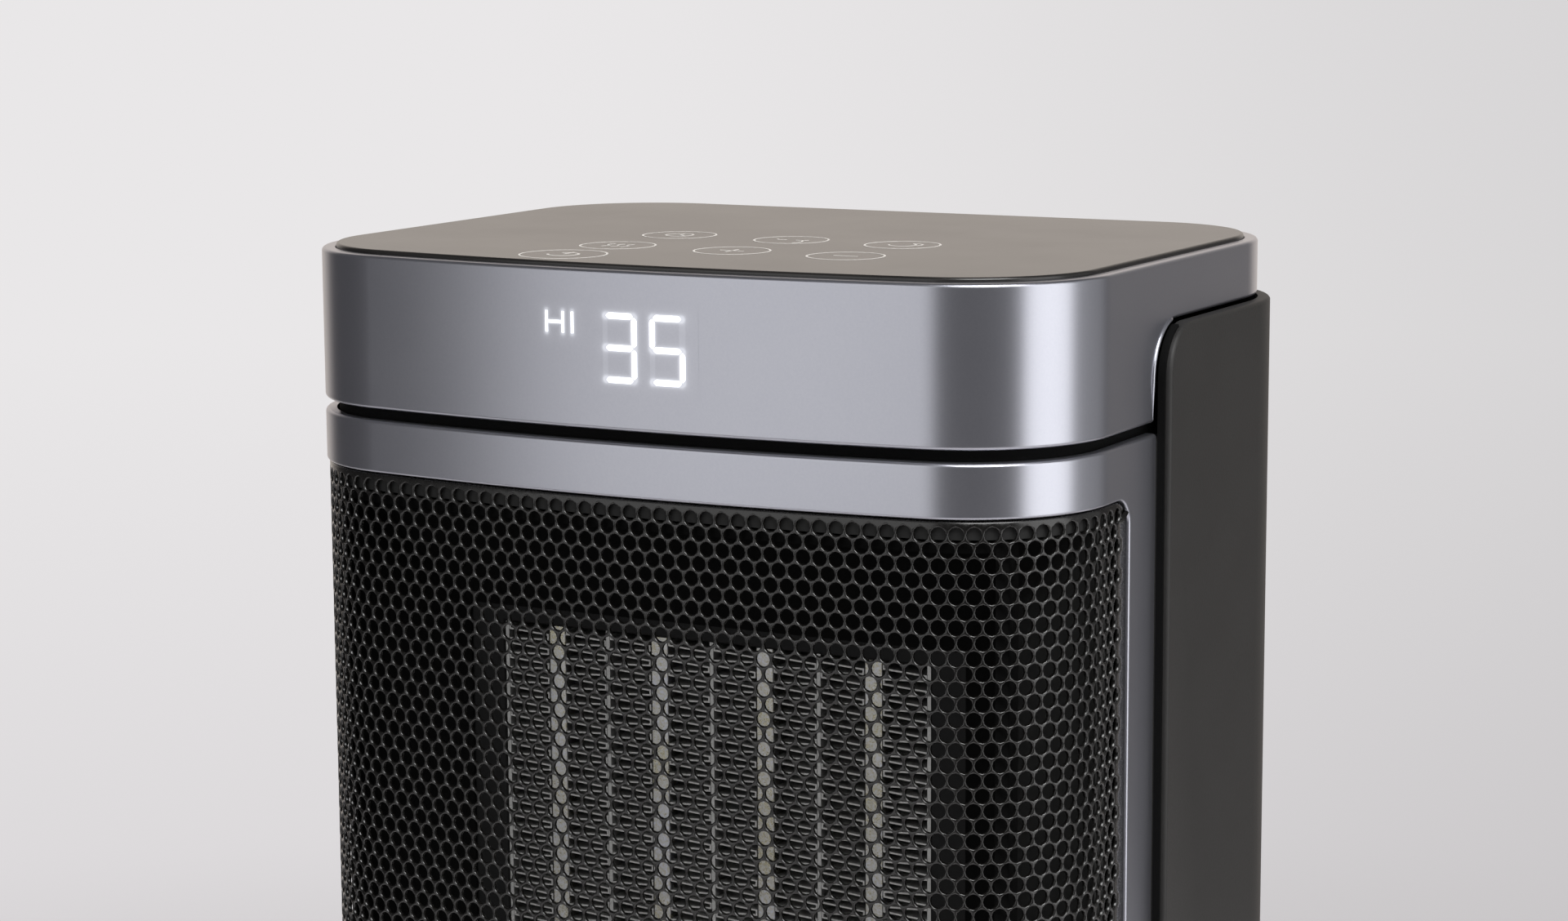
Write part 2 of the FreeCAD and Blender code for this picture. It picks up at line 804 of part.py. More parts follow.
# Swivel: the tray's hub turns in the base and is held from below

def make_tray():
    ring = new_body("bearing_ring")
    washer = new_sketch(ring, "top", "recess_floor")
    circle(washer, "0", "0", "bearing_inner")
    circle(washer, "0", "0", "bearing_outer")
    pad(ring, washer, "bearing_height")

    tray = new_body("bottom_tray")
    floor = new_sketch(tray, "top", "tower_bottom")
    outline(floor, "tray_inset")
    circle(floor, "0", "0", "hub_radius - hub_wall")
    circle(floor, "0", "-gear_distance", "shaft_radius + play")
    pad(tray, floor, "floor_wall")
    wall = new_sketch(tray, "top", "tray_top")
    outline(wall, "tray_inset")
    outline(wall, "tray_inset + inner_wall")
    pad(tray, wall, "lower_band / 6")
    hub = new_sketch(tray, "top", "hub_root")
    circle(hub, "0", "0", "hub_radius - hub_wall")
    circle(hub, "0", "0", "hub_radius")
    pad(tray, hub, "hub_root - hub_bottom", back=True)
    boss = new_sketch(tray, "top", "hub_root")
    circle(boss, "0", "0", "bearing_inner")
    circle(boss, "0", "0", "bearing_outer")
    pad(tray, boss, "hub_root - bearing_top - slip", back=True)
    posts = new_sketch(tray, "top", "tray_root")
    for x in both_sides("inner_post_side"):
        for y in ("-inner_post_front", "tray_post_back"):
            circle(posts, x, y, "post_radius")
    pad(tray, posts, "housing_under - tray_root")
    rear_posts(tray, "tray_root", "tray_post_height + root_depth")
    holes = new_sketch(tray, "top", "hub_bottom - overcut")
    retainer_places = ring_places("(hub_radius - hub_wall / 2)", 3, 30)
    for x, y in retainer_places:
        circle(holes, x, y, "screw_radius + slip / 2")
    pocket(tray, holes, "retainer_screw_length + 2 * overcut", back=True)

    retainer = new_body("swivel_retainer")
    washer = new_sketch(retainer, "top", "hub_bottom")
    circle(washer, "0", "0", "hub_radius - hub_wall - retainer_lip")
    circle(washer, "0", "0", "hub_radius + retainer_overhang")
    for x, y in retainer_places:
        circle(washer, x, y, "screw_radius + slip")
    pad(retainer, washer, "floor_wall", back=True)
    screw_group("retainer_screws", retainer_places, "hub_bottom - floor_wall",
                "hub_bottom + retainer_screw_length", below=True)

    can = rod("swing_motor_can", "0", "-gear_distance", ("tray_top", "tray_top + swing_motor_height"),
              "swing_motor_radius")
    ears = block("swing_motor_ears", ("-swing_motor_radius - ear_reach", "swing_motor_radius + ear_reach"),
                 ("-gear_distance - ear_width / 2", "ear_width / 2 - gear_distance"),
                 ("tray_top", "tray_top + ear_thickness"))
    bore = rod("swing_motor_bore", "0", "-gear_distance",
               ("tray_top - overcut", "tray_top + pinion_reach + overcut"), "shaft_radius + slip")
    node("swing_motor", cut("swing_motor", fuse("swing_motor_body", [can, ears]), [bore]))


def rear_posts(body, level, height):
    # Two square posts that reach the rear cover's back wall, each with a screw hole along Y
    posts = new_sketch(body, "top", level)
    for sign in ("", "-"):
        near = "%s(rear_post_side - rear_post_width / 2)" % sign
        far = "%s(rear_post_side + rear_post_width / 2)" % sign
        front = "half_depth - rear_post_depth"
        polygon(posts, [(near, front), (far, front), (far, "half_depth"), (near, "half_depth")])
    pad(body, posts, height)
    holes = new_sketch(body, "front", "half_depth + overcut")
    for x in both_sides("rear_post_side"):
        circle(holes, x, "%s + root_depth + rear_screw_level" % level, "screw_radius + slip / 2")
    pocket(body, holes, "cover_screw_depth + 2 * overcut", back=True)


# Outlet: silver front frame, perforated grille, duct and heating element

def make_front_frame():
    frame = new_body("front_frame")
    wall = new_sketch(frame, "top", "tower_bottom")
    outline(wall, "0")
    outline(wall, "shell_wall")
    pad(frame, wall, "frame_top - tower_bottom")
    rear = new_sketch(frame, "top", "frame_top + overcut")
    polygon(rear, [("-body_width", "-strip_edge"), ("body_width", "-strip_edge"),
                   ("body_width", "body_depth"), ("-body_width", "body_depth")])
    pocket(frame, rear, "frame_top - tower_bottom + 2 * overcut")
    window = new_sketch(frame, "side", "body_width")
    rounded_rectangle(window, "-body_depth", "-mesh_edge", "mesh_bottom", "mesh_top", "window_round")
    pocket(frame, window, "2 * body_width")
    top, low, high = value("frame_top"), value("mesh_bottom"), value("mesh_top")

    def shows(edge):
        middle = edge.valueAt((edge.FirstParameter + edge.LastParameter) / 2)
        inside = middle.y < -value("mesh_edge") + 0.01 and low - 0.01 < middle.z < high + 0.01
        return on_outline(edge, "0") and (inside or lies_at(edge, top))
    fillet(frame, "edge_round", shows)


def outline_place(distance, inset):
    # Point and outward direction at a distance along the outline, measured from the middle of the front
    bow_y, corner_x, corner_y, meeting = bow_geometry()
    shift = value(inset)
    bow, corner = value("bow_radius") - shift, value("corner_radius") - shift
    bow_length = bow * math.radians(meeting)
    corner_length = corner * math.radians(90 - meeting)
    along, sign = abs(distance), math.copysign(1, distance)
    if along < bow_length:
        angle = math.radians(-90) + along / bow
        x, y = bow * math.cos(angle), bow_y + bow * math.sin(angle)
    elif along < bow_length + corner_length:
        angle = math.radians(-90 + meeting) + (along - bow_length) / corner
        x, y = corner_x + corner * math.cos(angle), corner_y + corner * math.sin(angle)
    else:
        angle = 0
        x, y = corner_x + corner, corner_y + along - bow_length - corner_length
    return FreeCAD.Vector(sign * x, y, 0), FreeCAD.Vector(sign * math.cos(angle), math.sin(angle), 0)


def window_slab(name, inset, margin):
    # Solid behind the frame's window: the outline moved inwards, trimmed to the window less a margin
    body = doc.addObject("PartDesign::Body", name)
    plan = new_sketch(body, "top", "mesh_bottom + %s" % margin)
    outline(plan, inset)
    pad(body, plan, "mesh_height - 2 * (%s)" % margin)
    trim = new_sketch(body, "side", "body_width")
    polygon(trim, [("-2 * body_depth", "0"), ("body_depth", "0"),
                   ("body_depth", "2 * mesh_top"), ("-2 * body_depth", "2 * mesh_top")])
    rounded_rectangle(trim, "-body_depth", "-mesh_edge - (%s)" % margin, "mesh_bottom + %s" % margin,
                      "mesh_top - (%s)" % margin, "window_round - (%s)" % margin)
    pocket(body, trim, "2 * body_width")
    return body


def hex_prism(distance, level, across, reach, inset):
    centre, outward = outline_place(distance, inset)
    along = FreeCAD.Vector(-outward.y, outward.x, 0)
    up = FreeCAD.Vector(0, 0, 1)
    centre = centre + up * level - outward * reach
    points = []
    for index in range(6):
        angle = math.radians(30 + 60 * index)
        turn = along * math.cos(angle) + up * math.sin(angle)
        points.append(centre + turn * (across / math.sqrt(3)))
    return Part.Face(Part.makePolygon(points + points[:1])).extrude(outward * (2 * reach))


def make_grille():
    # Folded sheet with a flange turned inwards all round, then a hexagonal grid of holes along its face
    edge = "2 * slip"
    outer = window_slab("grille_outer", "mesh_recess", edge)
    inner = window_slab("grille_inner", "mesh_recess + mesh_thickness", edge + " + mesh_thickness")
    core = doc.addObject("PartDesign::Body", "grille_core")
    plan = new_sketch(core, "top", "mesh_bottom - overcut")
    outline(plan, "mesh_recess + mesh_flange")
    pad(core, plan, "mesh_height + 2 * overcut")
    folded = cut("grille_sheet", outer, [inner, core])
    doc.recompute()

    pitch, hole = value("mesh_pitch"), value("mesh_hole")
    middle = "mesh_recess + mesh_thickness / 2"
    bow_y, corner_x, corner_y, meeting = bow_geometry()
    face_length = (value("bow_radius") - value(middle)) * math.radians(meeting)
    face_length += (value("corner_radius") - value(middle)) * math.radians(90 - meeting)
    face_length += -value("mesh_edge") - corner_y
    border = value("mesh_border")
    row_pitch = pitch * math.sqrt(3) / 2
    rows = int((value("mesh_height") - hole - 2 * border) / row_pitch) + 1
    first_level = value("(mesh_bottom + mesh_top) / 2") - (rows - 1) * row_pitch / 2
    columns = int(face_length / pitch) + 1
    holes = []
    for row in range(rows):
        shift = pitch / 2 * (row % 2)
        for column in range(-columns, columns + 1):
            distance = column * pitch + shift
            if abs(distance) + hole / 2 + border < face_length:
                holes.append(hex_prism(distance, first_level + row * row_pitch, hole, border, middle))
    solid_node("mesh_grille", folded.Shape.cut(Part.makeCompound(holes)))


def make_duct():
    # Funnel from the heating element, with a collar that follows the grille's inner face
    body = new_body("outlet_duct")
    back, front = "-element_front - duct_gap", "-element_front - duct_depth"

    def section(level, half, low, high, shrinks):
        sketch = new_sketch(body, "front", level)
        for shrink in shrinks:
            left, right = "%s - (%s)" % (shrink, half), "%s - %s" % (half, shrink)
            bottom, top = "%s + %s" % (low, shrink), "%s - %s" % (high, shrink)
            polygon(sketch, [(left, bottom), (right, bottom), (right, top), (left, top)])
        return sketch
    throat = ("(element_outer + duct_lap)", "(housing_floor - duct_lap)", "(lid_under + duct_lap)")
    mouth = ("(duct_width / 2)", "(mesh_bottom + duct_margin)", "(mesh_top - duct_margin)")
    for kind, shrink in (("PartDesign::AdditiveLoft", "0"), ("PartDesign::SubtractiveLoft", "inner_wall")):
        loft = body.newObject(kind, "duct_loft")
        loft.Profile = section(back, *throat, [shrink])
        loft.Sections = [section(front, *mouth, [shrink])]
        loft.Ruled = True
        doc.recompute()
    pad(body, section(front, *mouth, ["0", "inner_wall"]), "half_depth - element_front - duct_depth")
    trim = new_sketch(body, "top", "mesh_top")
    polygon(trim, [("-body_width", "-body_depth"), ("body_width", "-body_depth"),
                   ("body_width", "body_depth"), ("-body_width", "body_depth")])
    outline(trim, "mesh_recess + mesh_thickness + duct_gap")
    pocket(body, trim, "mesh_height")


def make_element():
    depth = ("-element_front", "element_back")
    height = ("element_bottom", "element_top")
    outer = block("element_frame_outer", ("-element_outer", "element_outer"),
                  ("housing_front", "element_back + frame_lip"), ("housing_floor", "lid_under"))
    window = block("element_frame_window", ("-element_half", "element_half"),
                   ("-element_front - overcut", "element_back + overcut"), height)
    node("ptc_frame", cut("ptc_frame", outer, [window]))

    def upright(name, units, width):
        x = "%g * unit_pitch" % units
        return block(name, ("%s - %s / 2" % (x, width), "%s + %s / 2" % (x, width)), depth, height)
    node("ptc_bars", fuse("ptc_bars", [upright("bar", k, "bar_width") for k in (-1.5, -0.5, 0.5, 1.5)]))
    node("ptc_separators", fuse("ptc_separators", [upright("strip", k, "strip_width") for k in range(-2, 3)]))

    # Corrugated fins: one zigzag ribbon between each bar and strip
    pitch, thickness, gap = value("fin_pitch"), value("fin_thickness"), value("slip")
    low, high = value("element_bottom") + thickness, value("element_top") - thickness
    count = int((high - low) / (pitch / 2))
    width = value("(unit_pitch - bar_width - strip_width) / 2") - 2 * gap
    rise = (high - low) / count
    across = thickness * math.hypot(width, rise) / rise
    y_front, y_back = value(depth[0]), value(depth[1])
    ribbons = []
    for unit in range(-2, 2):
        strip_side = value("unit_pitch") * unit + value("strip_width") / 2 + gap
        bar_side = strip_side + width + 2 * gap + value("bar_width")
        for left in (strip_side, bar_side):
            path = [(left + (width - across) * (step % 2), low + step * rise) for step in range(count + 1)]
            one_side = [FreeCAD.Vector(x, y_front, z) for x, z in path]
            other_side = [FreeCAD.Vector(x + across, y_front, z) for x, z in reversed(path)]
            ribbon = Part.Face(Part.makePolygon(one_side + other_side + one_side[:1]))
            ribbons.append(ribbon.extrude(FreeCAD.Vector(0, y_back - y_front, 0)))
    solid_node("ptc_fins", Part.makeCompound(ribbons))

    node("thermal_cutout", rod("thermal_cutout", "cutout_side", "-cutout_front",
                               ("lid_top", "lid_top + cutout_height"), "cutout_radius"))


# Blower: cross-flow wheel on a vertical shaft between two end plates

def make_blower():
    across = ("-element_outer", "element_outer")
    along = ("housing_front", "housing_back")
    inside = ("housing_floor", "lid_under")
    floor = cut("housing_floor_plate", block("housing_plate", across, along, ("housing_under", "housing_floor")),
                [rod("housing_hole", "0", "fan_back", ("housing_under - overcut", "housing_floor + overcut"),
                     "shaft_radius + shaft_hole_margin")])

    def scroll_sector(name, radius):
        item = rod(name, "-scroll_shift", "fan_back - scroll_lead", inside, radius)
        item.Angle = 65
        item.Placement.Rotation = FreeCAD.Rotation(FreeCAD.Vector(0, 0, 1), 115)
        return item
    scroll = cut("scroll", scroll_sector("scroll_outer", "scroll_radius + inner_wall"),
                 [scroll_sector("scroll_inner", "scroll_radius")])
    guide = block("guide_wall", ("-scroll_shift - scroll_radius - inner_wall", "-scroll_shift - scroll_radius"),
                  ("housing_start", "fan_back - scroll_lead"), inside)
    side = block("tongue_wall", ("element_half - inner_wall", "element_half"),
                 ("housing_start", "tongue_thickness / 2"), inside)
    lip = block("tongue_lip", ("fan_radius - tongue_lap", "element_half"),
                ("-tongue_thickness / 2", "tongue_thickness / 2"), inside)
    node("blower_housing", fuse("blower_housing", [floor, scroll, guide, side, lip]))

    lid = block("lid_plate", across, along, ("lid_under", "lid_top"))
    hole = rod("lid_hole", "0", "fan_back", ("lid_under - overcut", "lid_top + overcut"), "bush_radius + slip / 2")
    node("blower_lid", cut("blower_lid", lid, [hole]))

    bearing = new_body("top_bearing")
    revolve(bearing, [
        ("shaft_radius + slip / 2", "lid_under"),
        ("bush_radius", "lid_under"),
        ("bush_radius", "lid_top"),
        ("bush_radius + bush_flange", "lid_top"),
        ("bush_radius + bush_flange", "lid_top + bush_flange_height"),
        ("shaft_radius + slip / 2", "lid_top + bush_flange_height"),
    ])
    place(bearing, "0", "fan_back")

    wheel = new_body("fan_wheel")

    def disc(level):
        sketch = new_sketch(wheel, "top", level)
        circle(sketch, "0", "0", "fan_radius")
        circle(sketch, "0", "0", "shaft_radius + slip / 5")
        pad(wheel, sketch, "wheel_disc")
    disc("fan_bottom")
    blade_sketch = new_sketch(wheel, "top", "fan_bottom + wheel_disc")
    arc_band(blade_sketch, "fan_radius - blade_depth", "blade_bend",
             "blade_bend - blade_thickness / 2", "blade_bend + blade_thickness / 2", -90, -40)
    blade = pad(wheel, blade_sketch, "fan_top - fan_bottom - 2 * wheel_disc")
    blades = wheel.newObject("PartDesign::PolarPattern", "fan_blades")
    blades.Originals = [blade]
    blades.Axis = (blade_sketch, ["N_Axis"])
    blades.setExpression("Occurrences", bind("blade_count"))
    wheel.Tip = blades
    doc.recompute()
    disc("(fan_bottom + fan_top - wheel_disc) / 2")
    disc("fan_top - wheel_disc")
    place(wheel, "0", "fan_back")

    node("fan_shaft", rod("fan_shaft", "0", "fan_back", ("motor_bottom + shaft_inset", "lid_top + shaft_reach"),
                          "shaft_radius"))
    can = rod("motor_can", "0", "fan_back", ("motor_bottom", "motor_top"), "motor_radius")
    bore = rod("motor_bore", "0", "fan_back", ("motor_bottom + motor_bore_floor", "motor_top + overcut"),
               "shaft_radius + slip / 2")
    node("fan_motor", cut("fan_motor", can, [bore]))
    mounts = [rod("mount", x, "fan_back + " + y, ("motor_top", "housing_under"), "mount_radius")
              for x, y in ring_places("(motor_radius - mount_inset)", 3, 90)]
    node("motor_mounts", fuse("motor_mounts", mounts))


def arc_band(sketch, x, y, inner, outer, start_angle, end_angle):
    # Curved strip between two arcs round one centre
    centre = (value(x), value(y))

    def end_point(radius, angle):
        a = math.radians(angle)
        return centre[0] + radius * math.cos(a), centre[1] + radius * math.sin(a)
    radii = {"outer": value(outer), "inner": value(inner)}
    outer_arc = add_arc(sketch, centre, radii["outer"], start_angle, end_angle)
    end_line = add_line(sketch, end_point(radii["outer"], end_angle), end_point(radii["inner"], end_angle))
    inner_arc = add_arc(sketch, centre, radii["inner"], start_angle, end_angle)
    start_line = add_line(sketch, end_point(radii["inner"], start_angle), end_point(radii["outer"], start_angle))
    for first, second in (((outer_arc, 2), (end_line, 1)), ((end_line, 2), (inner_arc, 2)),
                          ((inner_arc, 1), (start_line, 1)), ((start_line, 2), (outer_arc, 1)),
                          ((outer_arc, 3), (inner_arc, 3))):
        sketch.addConstraint(Sketcher.Constraint("Coincident", *first, *second))
    fix_point(sketch, outer_arc, 3, x, y)
    for arc, text in ((outer_arc, outer), (inner_arc, inner)):
        dimension(sketch, "Radius", (arc,), text)
        for end, angle in ((1, start_angle), (2, end_angle)):
            steep = abs(math.sin(math.radians(angle))) < 0.7
            kind, base, turn = ("DistanceY", y, "sin") if steep else ("DistanceX", x, "cos")
            dimension(sketch, kind, (-1, 1, arc, end), "%s + (%s) * %s(%g)" % (base, text, turn, angle))


# Rear: cover, intake grille with its net, carrying recess, mains switch, cord gland

def make_rear():
    cover = new_body("rear_cover")
    wall = new_sketch(cover, "top", "tower_bottom")
    outline(wall, "cover_outer")
    outline(wall, "cover_inner")
    pad(cover, wall, "cover_top - tower_bottom")
    keep = new_sketch(cover, "side", "body_width")
    polygon(keep, [("-body_depth", "0"), ("2 * body_depth", "0"),
                   ("2 * body_depth", "2 * rim"), ("-body_depth", "2 * rim")])
    rounded_rectangle(keep, "-cover_edge", "1.5 * body_depth", "tower_bottom - 2 * notch_round", "cover_top",
                      "cover_round")
    pocket(cover, keep, "2 * body_width")
    openings = new_sketch(cover, "front", "cover_back_inner - overcut")
    rounded_rectangle(openings, "-grille_width / 2 - play", "grille_width / 2 + play", "grille_low - play",
                      "grille_high + play", "grille_round + play")
    rounded_rectangle(openings, "-handle_width / 2", "handle_width / 2", "handle_low", "handle_high", "handle_round")
    left, right = "-switch_side - rocker_width / 2 - play", "rocker_width / 2 + play - switch_side"
    low, high = "switch_level - rocker_height / 2 - play", "switch_level + rocker_height / 2 + play"
    polygon(openings, [(left, low), (right, low), (right, high), (left, high)])
    circle(openings, "switch_side", "switch_level", "gland_neck + slip")
    for level in ("low_screw_level", "high_screw_level"):
        for x in both_sides("rear_post_side"):
            circle(openings, x, level, "screw_radius + slip")
    pocket(cover, openings, "cover_wall + 2 * overcut")
    top, edge, bend = value("cover_top"), -value("cover_edge"), value("cover_round")

    def shows(item):
        middle = item.valueAt((item.FirstParameter + item.LastParameter) / 2)
        front = middle.y < edge + 0.01 or (middle.y < edge + 0.98 * bend and middle.z > top - bend)
        return on_outline(item, "cover_outer") and (lies_at(item, top) or front)
    fillet(cover, "edge_round", shows)

    grille = new_body("intake_grille")
    plate = new_sketch(grille, "front", "cover_back_inner")
    rounded_rectangle(plate, "-grille_width / 2", "grille_width / 2", "grille_low", "grille_high", "grille_round")
    pad(grille, plate, "cover_wall", back=True)
    slot = new_sketch(grille, "front", "cover_back_inner - overcut")
    for sign in ("", "-"):
        near, far = "%sgrille_rib / 2" % sign, "%s(grille_width / 2 - grille_side)" % sign
        low, high = "grille_low + grille_border", "grille_low + grille_border + slot_height"
        polygon(slot, [(near, low), (far, low), (far, high), (near, high)])
    first = pocket(grille, slot, "cover_wall + 2 * overcut")
    slots = grille.newObject("PartDesign::LinearPattern", "grille_slots")
    slots.Originals = [first]
    slots.Direction = (slot, ["V_Axis"])
    rows = "floor((grille_high - grille_low - 2 * grille_border - slot_height) / slot_pitch)"
    slots.setExpression("Length", bind("slot_pitch * " + rows))
    slots.setExpression("Occurrences", bind(rows + " + 1"))
    grille.Tip = slots
    doc.recompute()
    node("filter_net", block("filter_net", ("net_inset - grille_width / 2", "grille_width / 2 - net_inset"),
                             ("cover_back_inner - net_thickness", "cover_back_inner"),
                             ("grille_low + net_inset", "grille_high - net_inset")))

    cup = new_body("handle_cup")
    shell = new_sketch(cup, "front", "cover_back_inner - slip")
    rounded_rectangle(shell, "-handle_width / 2 - inner_wall", "handle_width / 2 + inner_wall",
                      "handle_low - inner_wall", "handle_high + inner_wall", "handle_round + inner_wall")
    pad(cup, shell, "handle_depth")
    hollow = new_sketch(cup, "front", "cover_back_inner - slip")
    rounded_rectangle(hollow, "-handle_width / 2", "handle_width / 2", "handle_low", "handle_high", "handle_round")
    pocket(cup, hollow, "handle_depth - inner_wall", back=True)

    def switch_block(name, half_wide, half_tall, y):
        return block(name, ("-switch_side - (%s)" % half_wide, "%s - switch_side" % half_wide), y,
                     ("switch_level - (%s)" % half_tall, "switch_level + %s" % half_tall))
    flange = switch_block("switch_flange", "rocker_width / 2 + rocker_flange",
                          "rocker_height / 2 + rocker_flange",
                          ("cover_back + slip", "cover_back + slip + rocker_proud"))
    barrel = switch_block("switch_barrel", "rocker_width / 2", "rocker_height / 2",
                          ("cover_back - rocker_depth", "cover_back + rocker_proud / 2"))
    cavity = switch_block("switch_cavity", "rocker_width / 2 - rocker_wall", "rocker_height / 2 - rocker_wall",
                          ("cover_back - rocker_cavity", "cover_back + rocker_proud + overcut"))
    pivot_hole = rod_along_x("pivot_hole", ("-switch_side - rocker_width / 2", "rocker_width / 2 - switch_side"),
                             "cover_back", "switch_level", "pivot_radius + slip / 2")
    node("rocker_housing", cut("rocker_housing", fuse("switch_body", [flange, barrel]), [cavity, pivot_hole]))
    paddle = new_body("rocker_paddle")
    profile = new_sketch(paddle, "side", "-paddle_width / 2")
    polygon(profile, [("-paddle_depth", "-paddle_root / 2"), ("paddle_low", "-paddle_height / 2"),
                      ("paddle_middle", "0"), ("paddle_high", "paddle_height / 2"),
                      ("-paddle_depth", "paddle_root / 2")])
    pad(paddle, profile, "paddle_width")
    pivot = new_sketch(paddle, "side", "pivot_inset - rocker_width / 2")
    circle(pivot, "0", "0", "pivot_radius")
    pad(paddle, pivot, "rocker_width - 2 * pivot_inset")
    place(paddle, "-switch_side", "cover_back", "switch_level")

    def gland_rod(name, y, radius):
        return rod_along_y(name, "switch_side", y, "switch_level", radius)
    collar = gland_rod("gland_collar", ("cover_back + slip", "cover_back + gland_proud"), "gland_collar")
    neck = gland_rod("gland_neck", ("cover_back_inner - gland_nut", "cover_back + gland_proud / 2"), "gland_neck")
    nut = gland_rod("gland_nut", ("cover_back_inner - gland_nut", "cover_back_inner - slip"), "gland_collar")
    bore = gland_rod("gland_bore", ("cover_back_inner - gland_nut - overcut",
                                    "cover_back + gland_proud + overcut"), "cord_radius")
    node("cord_gland", cut("cord_gland", fuse("gland_body", [collar, neck, nut]), [bore]))

    screws = []
    for level in ("low_screw_level", "high_screw_level"):
        for x in both_sides("rear_post_side"):
            head = ("cover_back", "cover_back + head_height")
            shank = ("half_depth - cover_screw_depth", "cover_back")
            screws.append(rod_along_y("cover_head", x, head, level, "head_radius"))
            screws.append(rod_along_y("cover_shank", x, shank, level, "screw_radius"))
    node("cover_screws", fuse("cover_screws", screws))


# Electronics and top

def make_boards():
    board = block("power_board_sheet", ("-power_board_side", "relay_side"),
                  ("-power_board_front", "power_board_back"), ("tray_top", "tray_top + power_board_height"))
    relays = [block("relay", ("relay_side", "relay_side + relay_depth"), (y, y + " + relay_width"),
                    ("tray_top + relay_level", "tray_top + relay_level + relay_width"))
              for y in ("-relay_front", "relay_pitch - relay_front")]
    node("power_board", fuse("power_board", [board] + relays))
    control = block("control_sheet", ("-control_width / 2", "control_width / 2"),
                    ("-control_front", "control_back"), ("control_level", "control_top"))
    chip = block("control_chip", ("-chip_shift - chip_width / 2", "chip_width / 2 - chip_shift"),
                 ("-chip_width / 2", "chip_width / 2"), ("control_top", "control_top + chip_height"))
    node("control_board", fuse("control_board", [control, chip]))

    node("display_module", block("display_module", ("display_left", "display_right"),
                                 ("display_front", "display_back"), ("display_bottom", "display_top")))
    node("display_board", block(
        "display_board", ("display_left - display_margin", "display_right + display_margin"),
        ("display_back", "display_back + board_thickness"), ("display_bottom - display_margin / 2", "display_top")))
    node("touch_board", block(
        "touch_board", ("key_left - touch_margin", "key_right + touch_margin"),
        ("-key_front_row - touch_front_margin", "key_back_row + touch_margin"),
        ("cap_ceiling - board_thickness", "cap_ceiling")))
    keys = [("key_left", "-key_front_row")]
    for row in ("-key_middle_row", "key_back_row"):
        keys += [(column, row) for column in ("key_left", "key_shift", "key_right")]
    springs = [rod("spring", x, y, ("cap_ceiling", "seat"), "spring_radius") for x, y in keys]
    node("touch_springs", fuse("touch_springs", springs))


def make_top():
    deck = new_body("upper_deck")
    plan = new_sketch(deck, "top", "deck_under")
    outline(plan, "deck_inset")
    pad(deck, plan, "deck_top - deck_under")
    well = new_sketch(deck, "top", "deck_top")
    outline(well, "deck_inset + inner_wall")
    pocket(deck, well, "deck_top - frame_top")
    cap_posts = [(x, y) for x in both_sides("cap_post_side") for y in ("-cap_post_back", "cap_post_back")]
    holes = new_sketch(deck, "top", "frame_top + overcut")
    for x, y in cap_posts:
        circle(holes, x, y, "screw_radius + slip")
    pocket(deck, holes, "floor_wall + 2 * overcut")
    standoffs = new_sketch(deck, "top", "deck_root")
    for x in both_sides("standoff_side"):
        for y in ("-standoff_front", "standoff_back"):
            circle(standoffs, x, y, "standoff_radius")
    pad(deck, standoffs, "control_level - deck_root")
    legs = new_sketch(deck, "top", "deck_under + root_depth")
    for x in both_sides("inner_post_side"):
        for y in ("-inner_post_front", "deck_post_back"):
            circle(legs, x, y, "post_radius")
    pad(deck, legs, "deck_under + root_depth - lid_top", back=True)
    rear_posts(deck, "deck_root", "deck_post_height + root_depth")

    cap = new_body("top_cap")
    plan = new_sketch(cap, "top", "cap_bottom")
    outline(plan, "0")
    pad(cap, plan, "cap_height")
    hollow = new_sketch(cap, "top", "cap_bottom")
    outline(hollow, "cap_wall")
    pocket(cap, hollow, "cap_ceiling - cap_bottom", back=True)
    seat = new_sketch(cap, "top", "rim")
    outline(seat, "panel_inset - slip")
    pocket(cap, seat, "panel_seat")
    window = new_sketch(cap, "top", "seat")
    rounded_rectangle(window, "key_left - key_margin", "key_right + key_margin", "-key_front_row - key_front_margin",
                      "key_back_row + key_margin", "key_round")
    pocket(cap, window, "inner_wall")
    recess = new_sketch(cap, "front", "display_front")
    left, right = "display_left - play", "display_right + play"
    low, high = "display_bottom - play", "display_top + play"
    polygon(recess, [(left, low), (right, low), (right, high), (left, high)])
    pocket(cap, recess, "2 * cap_wall")
    notch = new_sketch(cap, "side", "body_width")
    rounded_rectangle(notch, "-notch_edge", "body_depth", "cap_bottom - 2 * notch_round", "rim - notch_drop",
                      "notch_round")
    pocket(cap, notch, "2 * body_width")
    posts = new_sketch(cap, "top", "cap_root")
    for x, y in cap_posts:
        circle(posts, x, y, "post_radius")
        circle(posts, x, y, "screw_radius + slip / 2")
    pad(cap, posts, "cap_root - frame_top", back=True)
    rim, bottom, edge = value("rim"), value("cap_bottom"), -value("notch_edge")
    step, bend = value("rim - notch_drop"), value("notch_round")

    def shows(item):
        middle = item.valueAt((item.FirstParameter + item.LastParameter) / 2)
        in_notch = abs(middle.y - edge) < 0.01 or (edge < middle.y < edge + bend and step - bend < middle.z < step)
        level = lies_at(item, rim) or lies_at(item, bottom) or lies_at(item, step)
        return on_outline(item, "0") and (level or in_notch)
    fillet(cap, "edge_round", shows)
    screw_group("cap_screws", cap_posts, "deck_under", "frame_top + cap_screw_length", below=True)

    panel = new_body("touch_panel")
    plan = new_sketch(panel, "top", "seat")
    outline(plan, "panel_inset")
    pad(panel, plan, "panel_seat + panel_proud")
    top = value("rim + panel_proud")
    fillet(panel, "panel_round", lambda item: lies_at(item, top))


